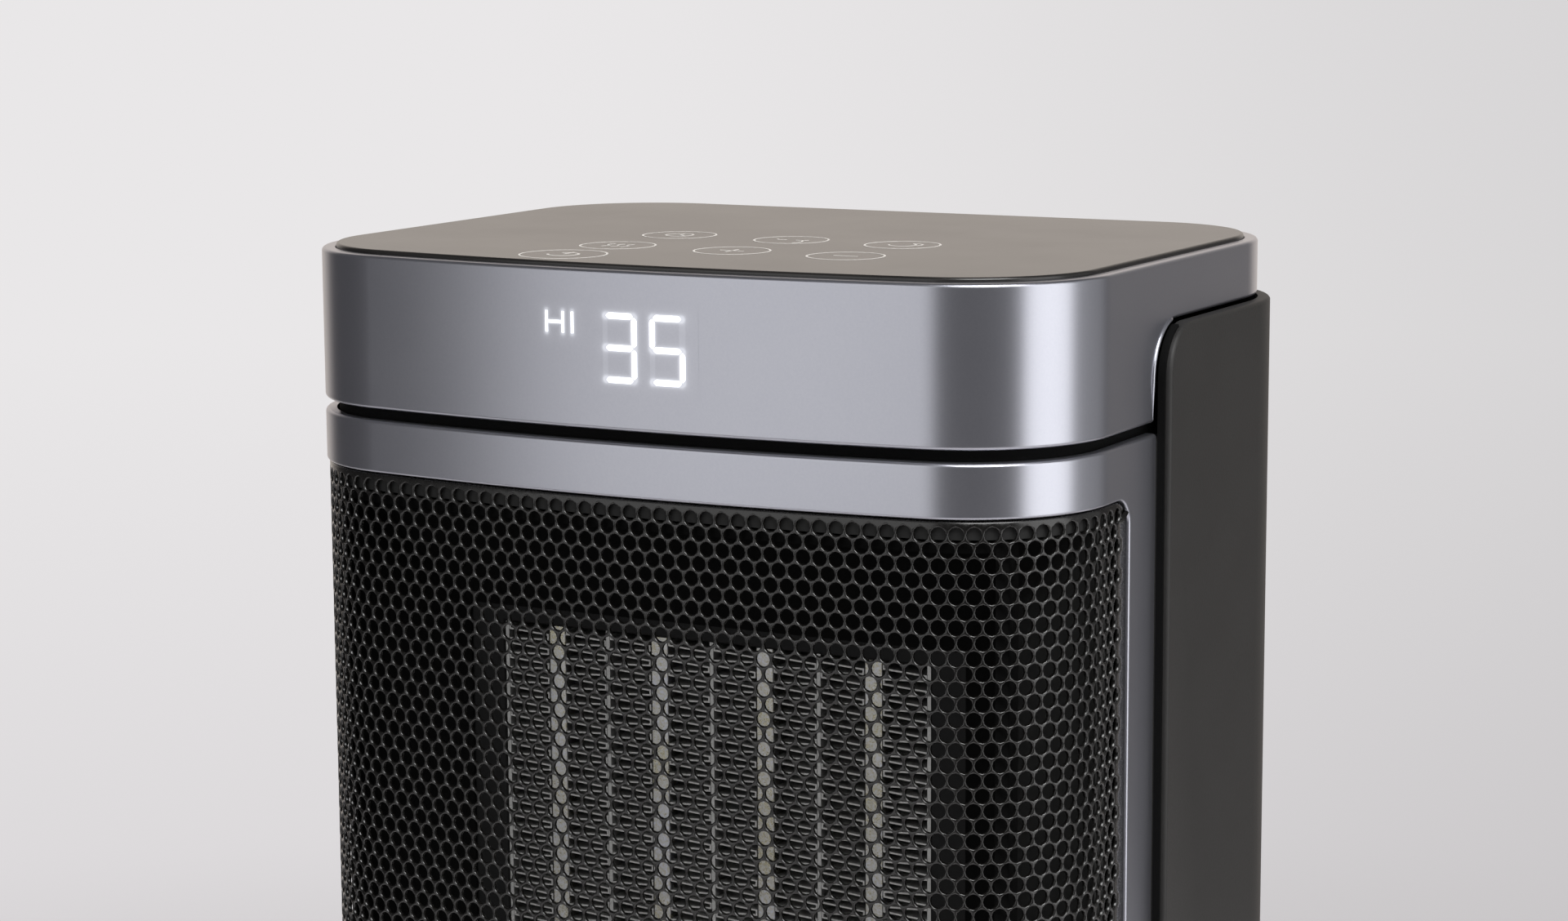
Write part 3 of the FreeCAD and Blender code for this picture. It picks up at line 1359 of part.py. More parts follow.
def check_and_write():
    doc.recompute()
    for item in doc.Objects:
        if "Invalid" in item.State or "Error" in item.State:
            raise ValueError("failed object: " + item.Label)
    for item in nodes:
        if item.Shape.isNull() or not item.Shape.isValid():
            raise ValueError("bad shape: " + item.Label)
    os.makedirs("parts", exist_ok=True)
    for item in nodes:
        item.Shape.exportStep(os.path.join("parts", item.Label + ".step"))
        print(item.Label, len(item.Shape.Solids), round(item.Shape.Volume))


make_base()
make_gears()
make_tray()
make_front_frame()
make_grille()
make_duct()
make_element()
make_blower()
make_rear()
make_boards()
make_top()
check_and_write()
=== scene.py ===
import bpy
import bmesh
import json
from math import asin, atan2, copysign, cos, degrees, exp, pi, radians, sin, sqrt
from mathutils import Matrix, Vector


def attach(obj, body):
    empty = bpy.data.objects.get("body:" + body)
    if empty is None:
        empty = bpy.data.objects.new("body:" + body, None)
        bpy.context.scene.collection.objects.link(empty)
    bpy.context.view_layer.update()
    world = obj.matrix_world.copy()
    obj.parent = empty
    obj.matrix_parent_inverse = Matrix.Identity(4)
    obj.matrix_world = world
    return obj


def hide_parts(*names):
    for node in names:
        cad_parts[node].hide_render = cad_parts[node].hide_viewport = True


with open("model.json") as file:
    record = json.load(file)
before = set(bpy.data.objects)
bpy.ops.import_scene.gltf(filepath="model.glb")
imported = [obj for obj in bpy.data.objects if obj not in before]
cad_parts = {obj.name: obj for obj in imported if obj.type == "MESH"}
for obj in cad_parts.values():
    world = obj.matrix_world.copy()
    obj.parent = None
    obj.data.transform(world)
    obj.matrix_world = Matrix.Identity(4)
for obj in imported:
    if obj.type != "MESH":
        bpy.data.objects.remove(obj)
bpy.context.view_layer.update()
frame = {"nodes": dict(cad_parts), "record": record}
nodes, record = frame["nodes"], frame["record"]
slotOf = {row["node"]: row["material_slot"] for row in record["subparts"]}
bodyOf = {node: body for body, members in record["behaviour"]["bodies"].items() for node in members}
mm = 0.001

# Tower outline seen from above and its levels, in millimetres, as in the CAD
tower = {
    "width": 170, "depth": 132, "corner": 29, "bow": 448,
    "bottom": 23.5, "mesh": (63.5, 323.5), "frameTop": 333.9,
    "capBottom": 336.2, "rim": 366.5, "seat": 363.4, "panelTop": 367.4,
    "meshEdge": -23.2, "stripEdge": -10.5, "notchEdge": -11.8, "notchTop": 355,
}
# Points on each stretch of the outline
stretch = {"bow": 28, "frontCorner": 40, "side": 14, "rearCorner": 30, "rear": 8}
# How far the blocks that cut the tower reach, in millimetres
cutter = {"x": (-120, 120), "y": 140, "low": 300}
# Points nearer than this are one, in millimetres
weld = {"fine": 0.002, "cut": 0.1, "grille": 0.02, "fins": 0.01}
# Edges sharper than this many degrees are rounded after a cut, in so many steps
sharp = {"angle": 60, "steps": 4}

bowY = tower["bow"] - tower["depth"] / 2
cornerX = tower["width"] / 2 - tower["corner"]
reach = tower["bow"] - tower["corner"]
cornerY = bowY - sqrt(reach ** 2 - cornerX ** 2)
rearY = tower["depth"] / 2 - tower["corner"]
meeting = asin(cornerX / reach)


def choose(piece):
    bpy.ops.object.select_all(action="DESELECT")
    piece.select_set(True)
    bpy.context.view_layer.objects.active = piece


def editing(on):
    bpy.ops.object.mode_set(mode="EDIT" if on else "OBJECT")


def selectAll(on=True):
    bpy.ops.mesh.select_all(action="SELECT" if on else "DESELECT")


def startFrom(addShape, **settings):
    # A new plane or circle, open for editing with all of it selected
    addShape(**settings)
    editing(True)
    selectAll()
    return bpy.context.object


def addObject(name, data):
    item = bpy.data.objects.new(name, data)
    bpy.context.collection.objects.link(item)
    return item


def pick(piece, kind, test):
    # Only the edges or faces that pass the test stay selected
    selectAll(False)
    mesh = bmesh.from_edit_mesh(piece.data)
    for item in getattr(mesh, kind):
        item.select_set(test(item))
    bmesh.update_edit_mesh(piece.data)


def movePoints(piece, place):
    # Each selected point goes where the function says, in millimetres
    mesh = bmesh.from_edit_mesh(piece.data)
    for index, vert in enumerate(mesh.verts):
        if vert.select:
            vert.co = Vector(place(vert, index)) * mm
    bmesh.update_edit_mesh(piece.data)


def mergePoints(distance):
    selectAll()
    bpy.ops.mesh.remove_doubles(threshold=distance * mm)


def pushOut(step):
    bpy.ops.mesh.extrude_region_move(TRANSFORM_OT_translate={"value": (0, 0, step * mm)})


def applyModifier(piece, kind, **settings):
    choose(piece)
    modifier = piece.modifiers.new(kind.lower(), kind)
    for key, value in settings.items():
        setattr(modifier, key, value)
    bpy.ops.object.modifier_apply(modifier=modifier.name)


def repeat(piece, count, offset, **settings):
    applyModifier(piece, "ARRAY", count=count, use_relative_offset=False, use_constant_offset=True,
                  constant_offset_displace=Vector(offset) * mm, **settings)


def smooth(piece, angle, weighted=False):
    # Smooth shading, apart from edges sharper than an angle in degrees
    choose(piece)
    bpy.ops.object.shade_smooth_by_angle(angle=radians(angle))
    if weighted:
        applyModifier(piece, "WEIGHTED_NORMAL", keep_sharp=True, weight=80)


def closeUp(piece):
    # Doubles merged, faces turned outwards
    choose(piece)
    editing(True)
    mergePoints(weld["fine"])
    bpy.ops.mesh.normals_make_consistent(inside=False)
    editing(False)


def joinAll(parts, name):
    choose(parts[0])
    for part in parts[1:]:
        part.select_set(True)
    bpy.ops.object.join()
    parts[0].name = name
    return parts[0]


def cutAway(piece, tool):
    applyModifier(piece, "BOOLEAN", object=tool, operation="DIFFERENCE", solver="EXACT")
    bpy.data.objects.remove(tool, do_unlink=True)


def cutRear(piece, y):
    # Takes away what lies behind a level of Y and closes the cut
    choose(piece)
    editing(True)
    selectAll()
    bpy.ops.mesh.bisect(plane_co=(0, y * mm, 0), plane_no=(0, 1, 0), use_fill=True, clear_outer=True)
    editing(False)


def addBlock(x, y, z):
    low, high = (Vector(corner) * mm for corner in zip(x, y, z))
    bpy.ops.mesh.primitive_cube_add(size=1, location=(low + high) / 2, scale=high - low)
    bpy.ops.object.transform_apply(location=True, rotation=True, scale=True)
    return bpy.context.object


def roundedBlock(x, y, z, radius, steps):
    # A block whose edges along X are rounded
    block = addBlock(x, y, z)
    editing(True)
    pick(block, "edges", lambda edge: abs(edge.verts[1].co.x - edge.verts[0].co.x) > 0.9 * edge.calc_length())
    bpy.ops.mesh.bevel(offset=radius * mm, segments=steps, affect="EDGES")
    editing(False)
    return block


def roundSharp(piece, width, low, high):
    # Rounds the sharp edges that lie between two levels
    def chosen(edge):
        inside = all(low * mm < vert.co.z < high * mm for vert in edge.verts)
        return inside and len(edge.link_faces) == 2 and edge.calc_face_angle(0) > radians(sharp["angle"])

    choose(piece)
    editing(True)
    mergePoints(weld["cut"])
    pick(piece, "edges", chosen)
    bpy.ops.mesh.bevel(offset=width * mm, segments=sharp["steps"], affect="EDGES", clamp_overlap=False)
    editing(False)


def arcSteps(centre, radius, start, end, steps):
    angles = [start + (end - start) * step / steps for step in range(steps)]
    return [(centre[0] + radius * cos(angle), centre[1] + radius * sin(angle),
             cos(angle), sin(angle)) for angle in angles]


def lineSteps(start, end, normal, steps):
    return [(*(a + (b - a) * step / steps for a, b in zip(start, end)), *normal) for step in range(steps)]


# Points round the outline with their outward directions, front first and on towards +X
down, turn = -pi / 2, pi / 2
side, backSide = tower["width"] / 2, tower["depth"] / 2
outlineSpots = (
    arcSteps((0, bowY), tower["bow"], down - meeting, down + meeting, stretch["bow"])
    + arcSteps((cornerX, cornerY), tower["corner"], down + meeting, 0, stretch["frontCorner"])
    + lineSteps((side, cornerY), (side, rearY), (1, 0), stretch["side"])
    + arcSteps((cornerX, rearY), tower["corner"], 0, turn, stretch["rearCorner"])
    + lineSteps((cornerX, backSide), (-cornerX, backSide), (0, 1), stretch["rear"])
    + arcSteps((-cornerX, rearY), tower["corner"], turn, 2 * turn, stretch["rearCorner"])
    + lineSteps((-side, rearY), (-side, cornerY), (-1, 0), stretch["side"])
    + arcSteps((-cornerX, cornerY), tower["corner"], 2 * turn, 3 * turn - meeting, stretch["frontCorner"])
)


def roundOff(start, corner, end, radius, steps=4):
    # Profile points of a small round between two square-on profile runs
    corner = Vector(corner)
    a, b = ((Vector(spot) - corner).normalized() * radius for spot in (start, end))
    angles = [step / steps * pi / 2 for step in range(steps + 1)]
    return [tuple(corner + a * (1 - sin(angle)) + b * (1 - cos(angle))) for angle in angles]


def sweepRing(name, count, stations, place, filled):
    # A ring of numbered points is extruded from one station to the next; filled closes both ends
    piece = startFrom(bpy.ops.mesh.primitive_circle_add, vertices=count, radius=mm, fill_type="NOTHING")
    piece.name = name
    mesh = bmesh.from_edit_mesh(piece.data)
    number = mesh.verts.layers.int.new("number")
    for index, vert in enumerate(mesh.verts):
        vert[number] = index
    for step, station in enumerate(stations):
        if step:
            bpy.ops.mesh.extrude_edges_move()
        mesh = bmesh.from_edit_mesh(piece.data)
        number = mesh.verts.layers.int["number"]
        movePoints(piece, lambda vert, index: place(station, vert[number]))
        if filled and step in (0, len(stations) - 1):
            bpy.ops.mesh.edge_face_add()
    editing(False)
    piece.data.attributes.remove(piece.data.attributes["number"])
    closeUp(piece)
    return piece


def sweepOutline(name, profile, filled=False):
    # The tower's outline, carried along a profile of insets and levels
    def place(station, index):
        inset, level = station
        x, y, nx, ny = outlineSpots[index]
        return x - nx * inset, y - ny * inset, level

    return sweepRing(name, len(outlineSpots), profile, place, filled)


def finishPiece(piece, body, slotName, *replaced, material=None):
    # The slot's own finish, unless another is given
    piece.data.materials.clear()
    piece.data.materials.append(material or finishes[slotName])
    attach(piece, body)
    if replaced:
        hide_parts(*replaced)


# Materials

def linear(hexText):
    parts = [int(hexText[i:i + 2], 16) / 255 for i in (1, 3, 5)]
    return tuple(p / 12.92 if p <= 0.04045 else ((p + 0.055) / 1.055) ** 2.4 for p in parts) + (1,)


def linkUp(tree, item, links):
    for key, (source, output) in links.items():
        tree.links.new(source.outputs[output], item.inputs[key])


def addNode(tree, kind, settings=None, links=None):
    item = tree.nodes.new(kind)
    for key, value in (settings or {}).items():
        if isinstance(key, int) or key in item.inputs:
            item.inputs[key].default_value = value
        else:
            setattr(item, key, value)
    linkUp(tree, item, links or {})
    return item


def findNode(tree, kind):
    return [item for item in tree.nodes if item.type == kind][0]


def addNoise(tree, coords, grain, detail, **settings):
    # Noise with a grain in millimetres
    return addNode(tree, "ShaderNodeTexNoise", {"Scale": 1000 / grain, "Detail": detail, **settings},
                   {"Vector": (coords, "Object")})


def addRamp(tree, source, colours, span=(0, 1)):
    ramp = addNode(tree, "ShaderNodeValToRGB", links={"Fac": source})
    for stop, colour, position in zip(ramp.color_ramp.elements, colours, span):
        stop.position = position
        stop.color = linear(colour)
    return ramp


def addRange(tree, source, span, result=(0, 1), kind="LINEAR"):
    ends = zip(("From Min", "From Max", "To Min", "To Max"), (*span, *result))
    return addNode(tree, "ShaderNodeMapRange", {"interpolation_type": kind, **dict(ends)}, {"Value": source})


def addMix(tree, share, first, second):
    return addNode(tree, "ShaderNodeMixShader", links={0: share, 1: first, 2: second})


def addBump(tree, source, depth):
    return addNode(tree, "ShaderNodeBump", {"Strength": 1, "Distance": depth * mm}, {"Height": source})


def newMaterial(name, **settings):
    material = bpy.data.materials.new(name)
    material.use_nodes = True
    tree = material.node_tree
    tree.nodes.clear()
    shader = addNode(tree, "ShaderNodeBsdfPrincipled", settings)
    addNode(tree, "ShaderNodeOutputMaterial", links={"Surface": (shader, "BSDF")})
    coords = addNode(tree, "ShaderNodeTexCoord")
    return material, tree, shader, coords


# Mottle of a finish: shares of fine and broad grain, how much broader the second is, and the span that is used
mottle = {"fine": 0.6, "shift": -0.05, "broad": 0.4, "broader": 40, "span": (0.3, 0.7)}


def grainedFinish(name, colours, grain, depth, roughness, settings):
    # Grain of a given size in mm: mottles the colour between two shades, the gloss between two limits, and the surface
    material, tree, shader, coords = newMaterial(name, **settings)
    fine = addNoise(tree, coords, grain, 1, Roughness=0.6)
    broad = addNoise(tree, coords, grain * mottle["broader"], 2)
    mixed = addNode(tree, "ShaderNodeMath", {"operation": "MULTIPLY_ADD", 1: mottle["fine"], 2: mottle["shift"]},
                    {0: (fine, "Fac")})
    mixed = addNode(tree, "ShaderNodeMath", {"operation": "MULTIPLY_ADD", 1: mottle["broad"]},
                    {0: (broad, "Fac"), 2: (mixed, "Value")})
    ramp = addRamp(tree, (mixed, "Value"), colours, mottle["span"])
    gloss = addRange(tree, (mixed, "Value"), mottle["span"], roughness)
    bump = addBump(tree, (fine, "Fac"), depth)
    linkUp(tree, shader, {"Base Color": (ramp, "Color"), "Roughness": (gloss, "Result"), "Normal": (bump, "Normal")})
    return material


def dustNet():
    # Woven nylon net: crossing threads 0.9 mm apart, dark holes between them; 20 is the wave texture's own factor
    pitch, wave = 0.9 * mm, 2 * pi / 20
    material, tree, shader, coords = newMaterial("woven_nylon_net", Roughness=0.7, IOR=1.53)
    warp, weft = (addNode(tree, "ShaderNodeTexWave", {"Scale": wave / pitch, "bands_direction": direction},
                          {"Vector": (coords, "Object")}) for direction in ("X", "Z"))
    weave = addNode(tree, "ShaderNodeMath", {"operation": "MAXIMUM"}, {0: (warp, "Fac"), 1: (weft, "Fac")})
    ramp = addRamp(tree, (weave, "Value"), ("#050505", "#2c2c2b"), (0.55, 0.85))
    bump = addBump(tree, (weave, "Value"), 0.2)
    linkUp(tree, shader, {"Base Color": (ramp, "Color"), "Normal": (bump, "Normal")})
    return material


def tintedGlass():
    # Tempered tinted glass, etched to a satin: dark seen from above, a soft mirror seen along it. The etch has a grain
    # of 0.5 mm, and a cloudiness of 25 mm shifts the shade and the gloss
    material, tree, shader, coords = newMaterial("etched_tinted_glass", IOR=1.52)
    etch = addNoise(tree, coords, 0.5, 2)
    cloud = addNoise(tree, coords, 25, 3)
    ramp = addRamp(tree, (cloud, "Fac"), ("#1b1a19", "#232120"), (0.35, 0.65))
    gloss = addRange(tree, (cloud, "Fac"), (0.3, 0.7), (0.24, 0.26))
    bump = addBump(tree, (etch, "Fac"), 0.0006)
    linkUp(tree, shader, {"Base Color": (ramp, "Color"), "Roughness": (gloss, "Result"), "Normal": (bump, "Normal")})
    return material


# Finishes by slot: name, two shades, grain and depth of its relief in mm, limits of roughness, other settings
finishRows = {
    # Sprayed metallic paint on ABS: aluminium flakes under a satin lacquer, a soft mirror with a faint sparkle. Real
    # flakes are about 0.03 mm, drawn at 0.45 mm so that they show
    "silver": ("satin_metallic_paint", ("#b4b5be", "#b9bac2"), 0.45, 0.0002, (0.28, 0.29), {"Metallic": 0.95}),
    # Grille: electro-coated steel sheet, semi-gloss with a slight orange peel of about 0.8 mm
    "mesh_black": ("coated_steel_sheet", ("#0a0908", "#100f0d"), 0.8, 0.002, (0.24, 0.32),
                   {"IOR": 1.5, "Coat Weight": 0.45, "Coat Roughness": 0.14}),
    # Rear cover: moulded ABS from a spark-eroded tool, a matte grain of about 0.4 mm
    "charcoal": ("spark_textured_abs", ("#201f1e", "#272625"), 0.4, 0.02, (0.52, 0.62), {"IOR": 1.46}),
    # Base: the same moulding, a shade lighter
    "base_grey": ("textured_abs_base", ("#2b2b2d", "#363638"), 0.4, 0.02, (0.48, 0.58), {"IOR": 1.53}),
    # Black inner parts: glass-filled polyamide, moulded, dull with a fine fibre mottle of 0.5 mm
    "black_plastic": ("glass_filled_polyamide", ("#060606", "#0b0b0b"), 0.5, 0.02, (0.75, 0.9),
                      {"Specular IOR Level": 0.12}),
    # Element frame: phenolic moulding, harder and shinier, with a flow mottle of 1.5 mm
    "phenolic": ("phenolic_moulding", ("#090909", "#0f0f0f"), 1.5, 0.004, (0.45, 0.55), {"Specular IOR Level": 0.25}),
    # Feet, motor mounts and foam seals: moulded rubber, matte with a dusty bloom of 1.2 mm
    "rubber": ("moulded_rubber", ("#151515", "#212120"), 1.2, 0.02, (0.75, 0.9), {"IOR": 1.52}),
    # Screws, motor cans and spindle: zinc-plated steel, cloudy bright plating in patches of 0.6 mm
    "steel": ("zinc_plated_steel", ("#a3a6ab", "#b9bcc0"), 0.6, 0.002, (0.25, 0.38), {"Metallic": 1}),
    # Fins and strips: rolled aluminium, fine rolling marks of 0.4 mm, dulled by heat so that it also scatters
    "aluminium": ("rolled_aluminium", ("#b4b4b2", "#cdcdcb"), 0.4, 0.004, (0.35, 0.5), {"Metallic": 0.8}),
    # Heating bars: the same metal, tinted by heat from straw to pale blue in blotches of some 16 mm
    "bars": ("heat_tinted_aluminium", ("#bdb79c", "#dadeee"), 0.4, 0.002, (0.26, 0.36), {"Metallic": 0.95}),
    # Boards: epoxy glass laminate under green solder mask, weave of 0.7 mm just felt through the mask
    "board": ("solder_mask_on_glass_epoxy", ("#0d3a22", "#14472b"), 0.7, 0.004, (0.3, 0.42), {"IOR": 1.55}),
    # Bearing: sintered bronze, open pores of 0.25 mm
    "bronze": ("sintered_bronze", ("#8c6a3a", "#a9824c"), 0.25, 0.01, (0.4, 0.55), {"Metallic": 1}),
    # Gears: moulded acetal, waxy white with a slight flow mottle of 2 mm
    "gear_white": ("moulded_acetal", ("#dcd8ce", "#e8e5dc"), 2.0, 0.004, (0.32, 0.42), {"IOR": 1.48}),
    # Display body: milky polycarbonate diffuser, slightly cloudy in patches of 1 mm
    "display": ("polycarbonate_diffuser", ("#c9c9c6", "#d6d6d3"), 1.0, 0.003, (0.35, 0.45), {"IOR": 1.585}),
    # Panel signs: screen-printed grey enamel fired into the glass, slightly uneven in strength
    "ink": ("screen_printed_ink", ("#d5d0cb", "#e4e0db"), 0.6, 0.001, (0.45, 0.55), {"IOR": 1.5}),
}
finishes = {slot: grainedFinish(*row) for slot, row in finishRows.items()}
finishes["panel_glass"], finishes["net"] = tintedGlass(), dustNet()
for name, item in nodes.items():
    material = finishes[slotOf[name]]
    if item.material_slots:
        for place in item.material_slots:
            place.material = material
    else:
        item.data.materials.append(material)
print("materials:", len(finishes), "finishes on", len(nodes), "nodes")


# Top cap: a swept wall with rounded rim, then the notch over the rear cover
cap = {
    "wall": 2.5, "panelGap": 2.75, "gapRound": 0.3, "ledge": 7, "ledgeDeep": 2, "edgeRound": 0.8,
    "notchRound": 11, "notchSteps": 14, "cutRound": 0.8, "cutFrom": 0.7, "cutTo": 0.5, "shade": 40,
}


def makeTopCap():
    bottom, rim, seat = tower["capBottom"], tower["rim"], tower["seat"]
    wall, gap, ledge, under = cap["wall"], cap["panelGap"], cap["ledge"], seat - cap["ledgeDeep"]
    profile = [(wall, bottom)]
    profile += roundOff((wall, bottom), (0, bottom), (0, rim), cap["edgeRound"])
    profile += roundOff((0, bottom), (0, rim), (gap, rim), cap["edgeRound"], steps=6)
    profile += roundOff((0, rim), (gap, rim), (gap, seat), cap["gapRound"], steps=3)
    profile += [(gap, seat), (ledge, seat), (ledge, under), (wall, under), (wall, bottom)]
    piece = sweepOutline("topCap", profile)
    cutAway(piece, roundedBlock(cutter["x"], (tower["notchEdge"], cutter["y"]), (cutter["low"], tower["notchTop"]),
                                cap["notchRound"], cap["notchSteps"]))
    roundSharp(piece, cap["cutRound"], bottom + cap["cutFrom"], tower["notchTop"] + cap["cutTo"])
    smooth(piece, cap["shade"], weighted=True)
    finishPiece(piece, "tower", "silver", "top_cap")


makeTopCap()
print("top cap done")

# Rolled bead along the cap's edge beside the rear cover
bead = {"radius": 0.45, "sunk": 0.08, "corners": 10, "steps": 18, "endAngle": 100, "above": 0.6, "thin": 0.2,
        "shade": 60}
# Black strip in the seam along the rear cover's front edge: painted shade, a dark piece that stands for the shadow in
# the gap
seamShade = {
    "edge": -9.8, "round": 10, "top": 354.5, "low": 24.5, "near": 0.05, "far": 0.55, "x": (85.15, 86.6),
    "steps": 14, "endAngle": 112, "shade": 60,
}


def sweepEdge(name, section, x, sign, low, centre, radius, shape, thin=1):
    # A section carried upwards along an edge, then round its corner; the two ends may be thinner
    stations = []
    for step in range(-1, shape["steps"] + 1):
        angle = radians(180 - (180 - shape["endAngle"]) * max(step, 0) / shape["steps"])
        out = Vector((0, cos(angle), sin(angle)))
        spot = Vector((x, centre[0], low if step < 0 else centre[1])) + out * radius
        stations.append((spot, out, thin if step in (-1, shape["steps"]) else 1))

    def place(station, index):
        spot, out, scale = station
        forward, across = section[index]
        return spot + (out * forward + Vector((sign, 0, 0)) * across) * scale

    piece = sweepRing(name, len(section), stations, place, True)
    smooth(piece, shape["shade"])
    return piece


def makeBead(name, sign):
    turns = [2 * pi * index / bead["corners"] for index in range(bead["corners"])]
    section = [(bead["radius"] * cos(angle), bead["radius"] * sin(angle)) for angle in turns]
    centre = (tower["notchEdge"] + cap["notchRound"], tower["notchTop"] - cap["notchRound"])
    piece = sweepEdge(name, section, sign * (side - bead["sunk"]), sign, tower["capBottom"] + bead["above"], centre,
                      cap["notchRound"] + bead["radius"], bead, bead["thin"])
    finishPiece(piece, "tower", "silver")


def makeSeamShadeStrip(name, sign):
    # The strip's black colour is painted shade for the shadowed gap in front of the cover's edge
    near, far, (inner, outer) = seamShade["near"], seamShade["far"], seamShade["x"]
    section = [(near, inner), (near, outer), (far, outer), (far, inner)]
    centre = (seamShade["edge"] + seamShade["round"], seamShade["top"] - seamShade["round"])
    piece = sweepEdge(name, section, 0, sign, seamShade["low"], centre, seamShade["round"], seamShade)
    finishPiece(piece, "tower", "black_plastic")


makeBead("capBeadRight", 1)
makeBead("capBeadLeft", -1)
makeSeamShadeStrip("seamTrimRight", 1)
makeSeamShadeStrip("seamTrimLeft", -1)
print("beads and trims done")

# Touch panel: one thick plate of tinted glass with a rounded edge
panel = {"inset": 2.85, "printDepth": 0.04, "edgeRound": 0.6, "shade": 35}


def makeTouchPanel():
    top = tower["panelTop"] - panel["printDepth"]
    inset, inward = panel["inset"], panel["inset"] + 1
    profile = [(inset, tower["seat"])]
    profile += roundOff((inset, tower["seat"]), (inset, top), (inward, top), panel["edgeRound"], steps=5)
    piece = sweepOutline("touchPanel", profile, filled=True)
    smooth(piece, panel["shade"], weighted=True)
    finishPiece(piece, "tower", "panel_glass", "touch_panel")


makeTouchPanel()
print("touch panel done")

# Front frame: swept wall, cut square at the rear, window cut through the front
frontFrame = {
    "wall": 2.2, "lowRound": 0.4, "edgeRound": 0.8, "windowRound": 5, "windowSteps": 7, "cutRound": 0.6,
    "cutFrom": 0.3, "cutTo": -0.7, "shade": 40,
}


def makeFrontFrame():
    low, high, wall = tower["bottom"], tower["frameTop"], frontFrame["wall"]
    profile = [(wall, low)]
    profile += roundOff((wall, low), (0, low), (0, high), frontFrame["lowRound"], steps=2)
    profile += roundOff((0, low), (0, high), (wall, high), frontFrame["edgeRound"], steps=5)
    profile += [(wall, high), (wall, low)]
    piece = sweepOutline("frontFrame", profile)
    cutRear(piece, tower["stripEdge"])
    cutAway(piece, roundedBlock(cutter["x"], (-cutter["y"], tower["meshEdge"]), tower["mesh"],
                                frontFrame["windowRound"], frontFrame["windowSteps"]))
    roundSharp(piece, frontFrame["cutRound"], low + frontFrame["cutFrom"], high + frontFrame["cutTo"])
    smooth(piece, frontFrame["shade"], weighted=True)
    finishPiece(piece, "tower", "silver", "front_frame")


makeFrontFrame()
print("front frame done")

# Grille: flat hexagonal lattice of round holes, border and folded flange, then wrapped round the outline
grille = {
    "pitch": 3.3, "hole": 2.88, "thickness": 0.8, "recess": 0.5, "sideBorder": 2.0, "endBorder": 0.7,
    "gap": 0.2, "cornerRound": 4.8, "fold": 0.4, "flange": 4.5, "rimRound": 0.18, "spare": 0.3, "seam": 42,
    "shade": 65,
}
rowPitch = grille["pitch"] * sqrt(3) / 2
bowRadius, cornerRadius = tower["bow"] - grille["recess"], tower["corner"] - grille["recess"]
bowReach, cornerReach = bowRadius * meeting, cornerRadius * (pi / 2 - meeting)
faceHalf = bowReach + cornerReach + tower["meshEdge"] - cornerY - grille["gap"]
faceTall = (tower["mesh"][1] - tower["mesh"][0]) / 2 - grille["gap"]


def wrapPoint(along, inset):
    # Place on the outline moved inwards, at a distance along the grille's outer face from the front's middle
    rest = abs(along)
    straight = max(0, rest - bowReach - cornerReach)
    x, y, radius, angle = 0, bowY, tower["bow"] - inset, down + rest / bowRadius
    if rest >= bowReach:
        x, y, radius = cornerX, cornerY, tower["corner"] - inset
        angle = min(0, down + meeting + (rest - bowReach) / cornerRadius)
    return copysign(x + radius * cos(angle), along), y + radius * sin(angle) + straight


def makeLattice():
    # Two cells, each with a hole, repeated along and up; points round the holes are marked. Stays open for editing
    pitch, hole = grille["pitch"], grille["hole"]
    sheet = startFrom(bpy.ops.mesh.primitive_circle_add, vertices=12, radius=pitch / sqrt(3) * mm, fill_type="NGON")
    mesh = bmesh.from_edit_mesh(sheet.data)
    for vert in mesh.verts:  # every second corner moves in to the middle of a hexagon's side
        if round(degrees(atan2(vert.co.y, vert.co.x))) % 60 == 0:
            vert.co = vert.co.normalized() * pitch / 2 * mm
    bmesh.update_edit_mesh(sheet.data)
    bpy.ops.mesh.inset(thickness=(pitch - hole) / 3 * mm)
    mesh = bmesh.from_edit_mesh(sheet.data)
    rimOf = mesh.verts.layers.int.new("rim")
    for vert in mesh.verts:
        if vert.select:
            vert.co = vert.co.normalized() * hole / 2 * mm
            vert[rimOf] = 1
    bmesh.update_edit_mesh(sheet.data)
    bpy.ops.mesh.delete(type="FACE")
    selectAll()
    bpy.ops.mesh.duplicate_move(TRANSFORM_OT_translate={"value": (pitch / 2 * mm, rowPitch * mm, 0)})
    editing(False)
    columns = int((2 * faceHalf - 2 * grille["sideBorder"] - pitch / 2) / pitch)
    rows = int((2 * faceTall - 2 * grille["endBorder"] - grille["spare"] * pitch) / rowPitch) // 2 * 2
    repeat(sheet, columns, (pitch, 0, 0))
    repeat(sheet, rows // 2, (0, 2 * rowPitch, 0))
    choose(sheet)
    editing(True)
    selectAll()
    bpy.ops.transform.translate(value=Vector((-(columns - 0.5) * pitch / 2, -(rows - 1) * rowPitch / 2, 0)) * mm)
    mergePoints(weld["grille"])
    return sheet, columns * rows


def makeBorder(sheet):
    # The lattice's outer edge, drawn out to a rounded rectangle, then folded back as a flange
    r = grille["cornerRound"]
    cx, cy = faceHalf - r, faceTall - r
    mesh = bmesh.from_edit_mesh(sheet.data)
    rimOf = mesh.verts.layers.int["rim"]
    pick(sheet, "edges", lambda edge: len(edge.link_faces) == 1 and all(vert[rimOf] == 0 for vert in edge.verts))

    def drawnOut(vert, grow, depth):
        x, y = abs(vert.co.x) / mm, abs(vert.co.y) / mm
        if x > cx and y > cy:
            out = Vector((x - cx, y - cy)).normalized() * (r + grow)
            x, y = cx + out.x, cy + out.y
        elif faceHalf - x < faceTall - y:
            x = faceHalf + grow
        else:
            y = faceTall + grow
        return copysign(x, vert.co.x), copysign(y, vert.co.y), -depth

    for grow, depth in ((-grille["fold"], 0), (0, grille["fold"]), (0, grille["flange"])):
        bpy.ops.mesh.extrude_edges_move()
        movePoints(sheet, lambda vert, index: drawnOut(vert, grow, depth))
    editing(False)


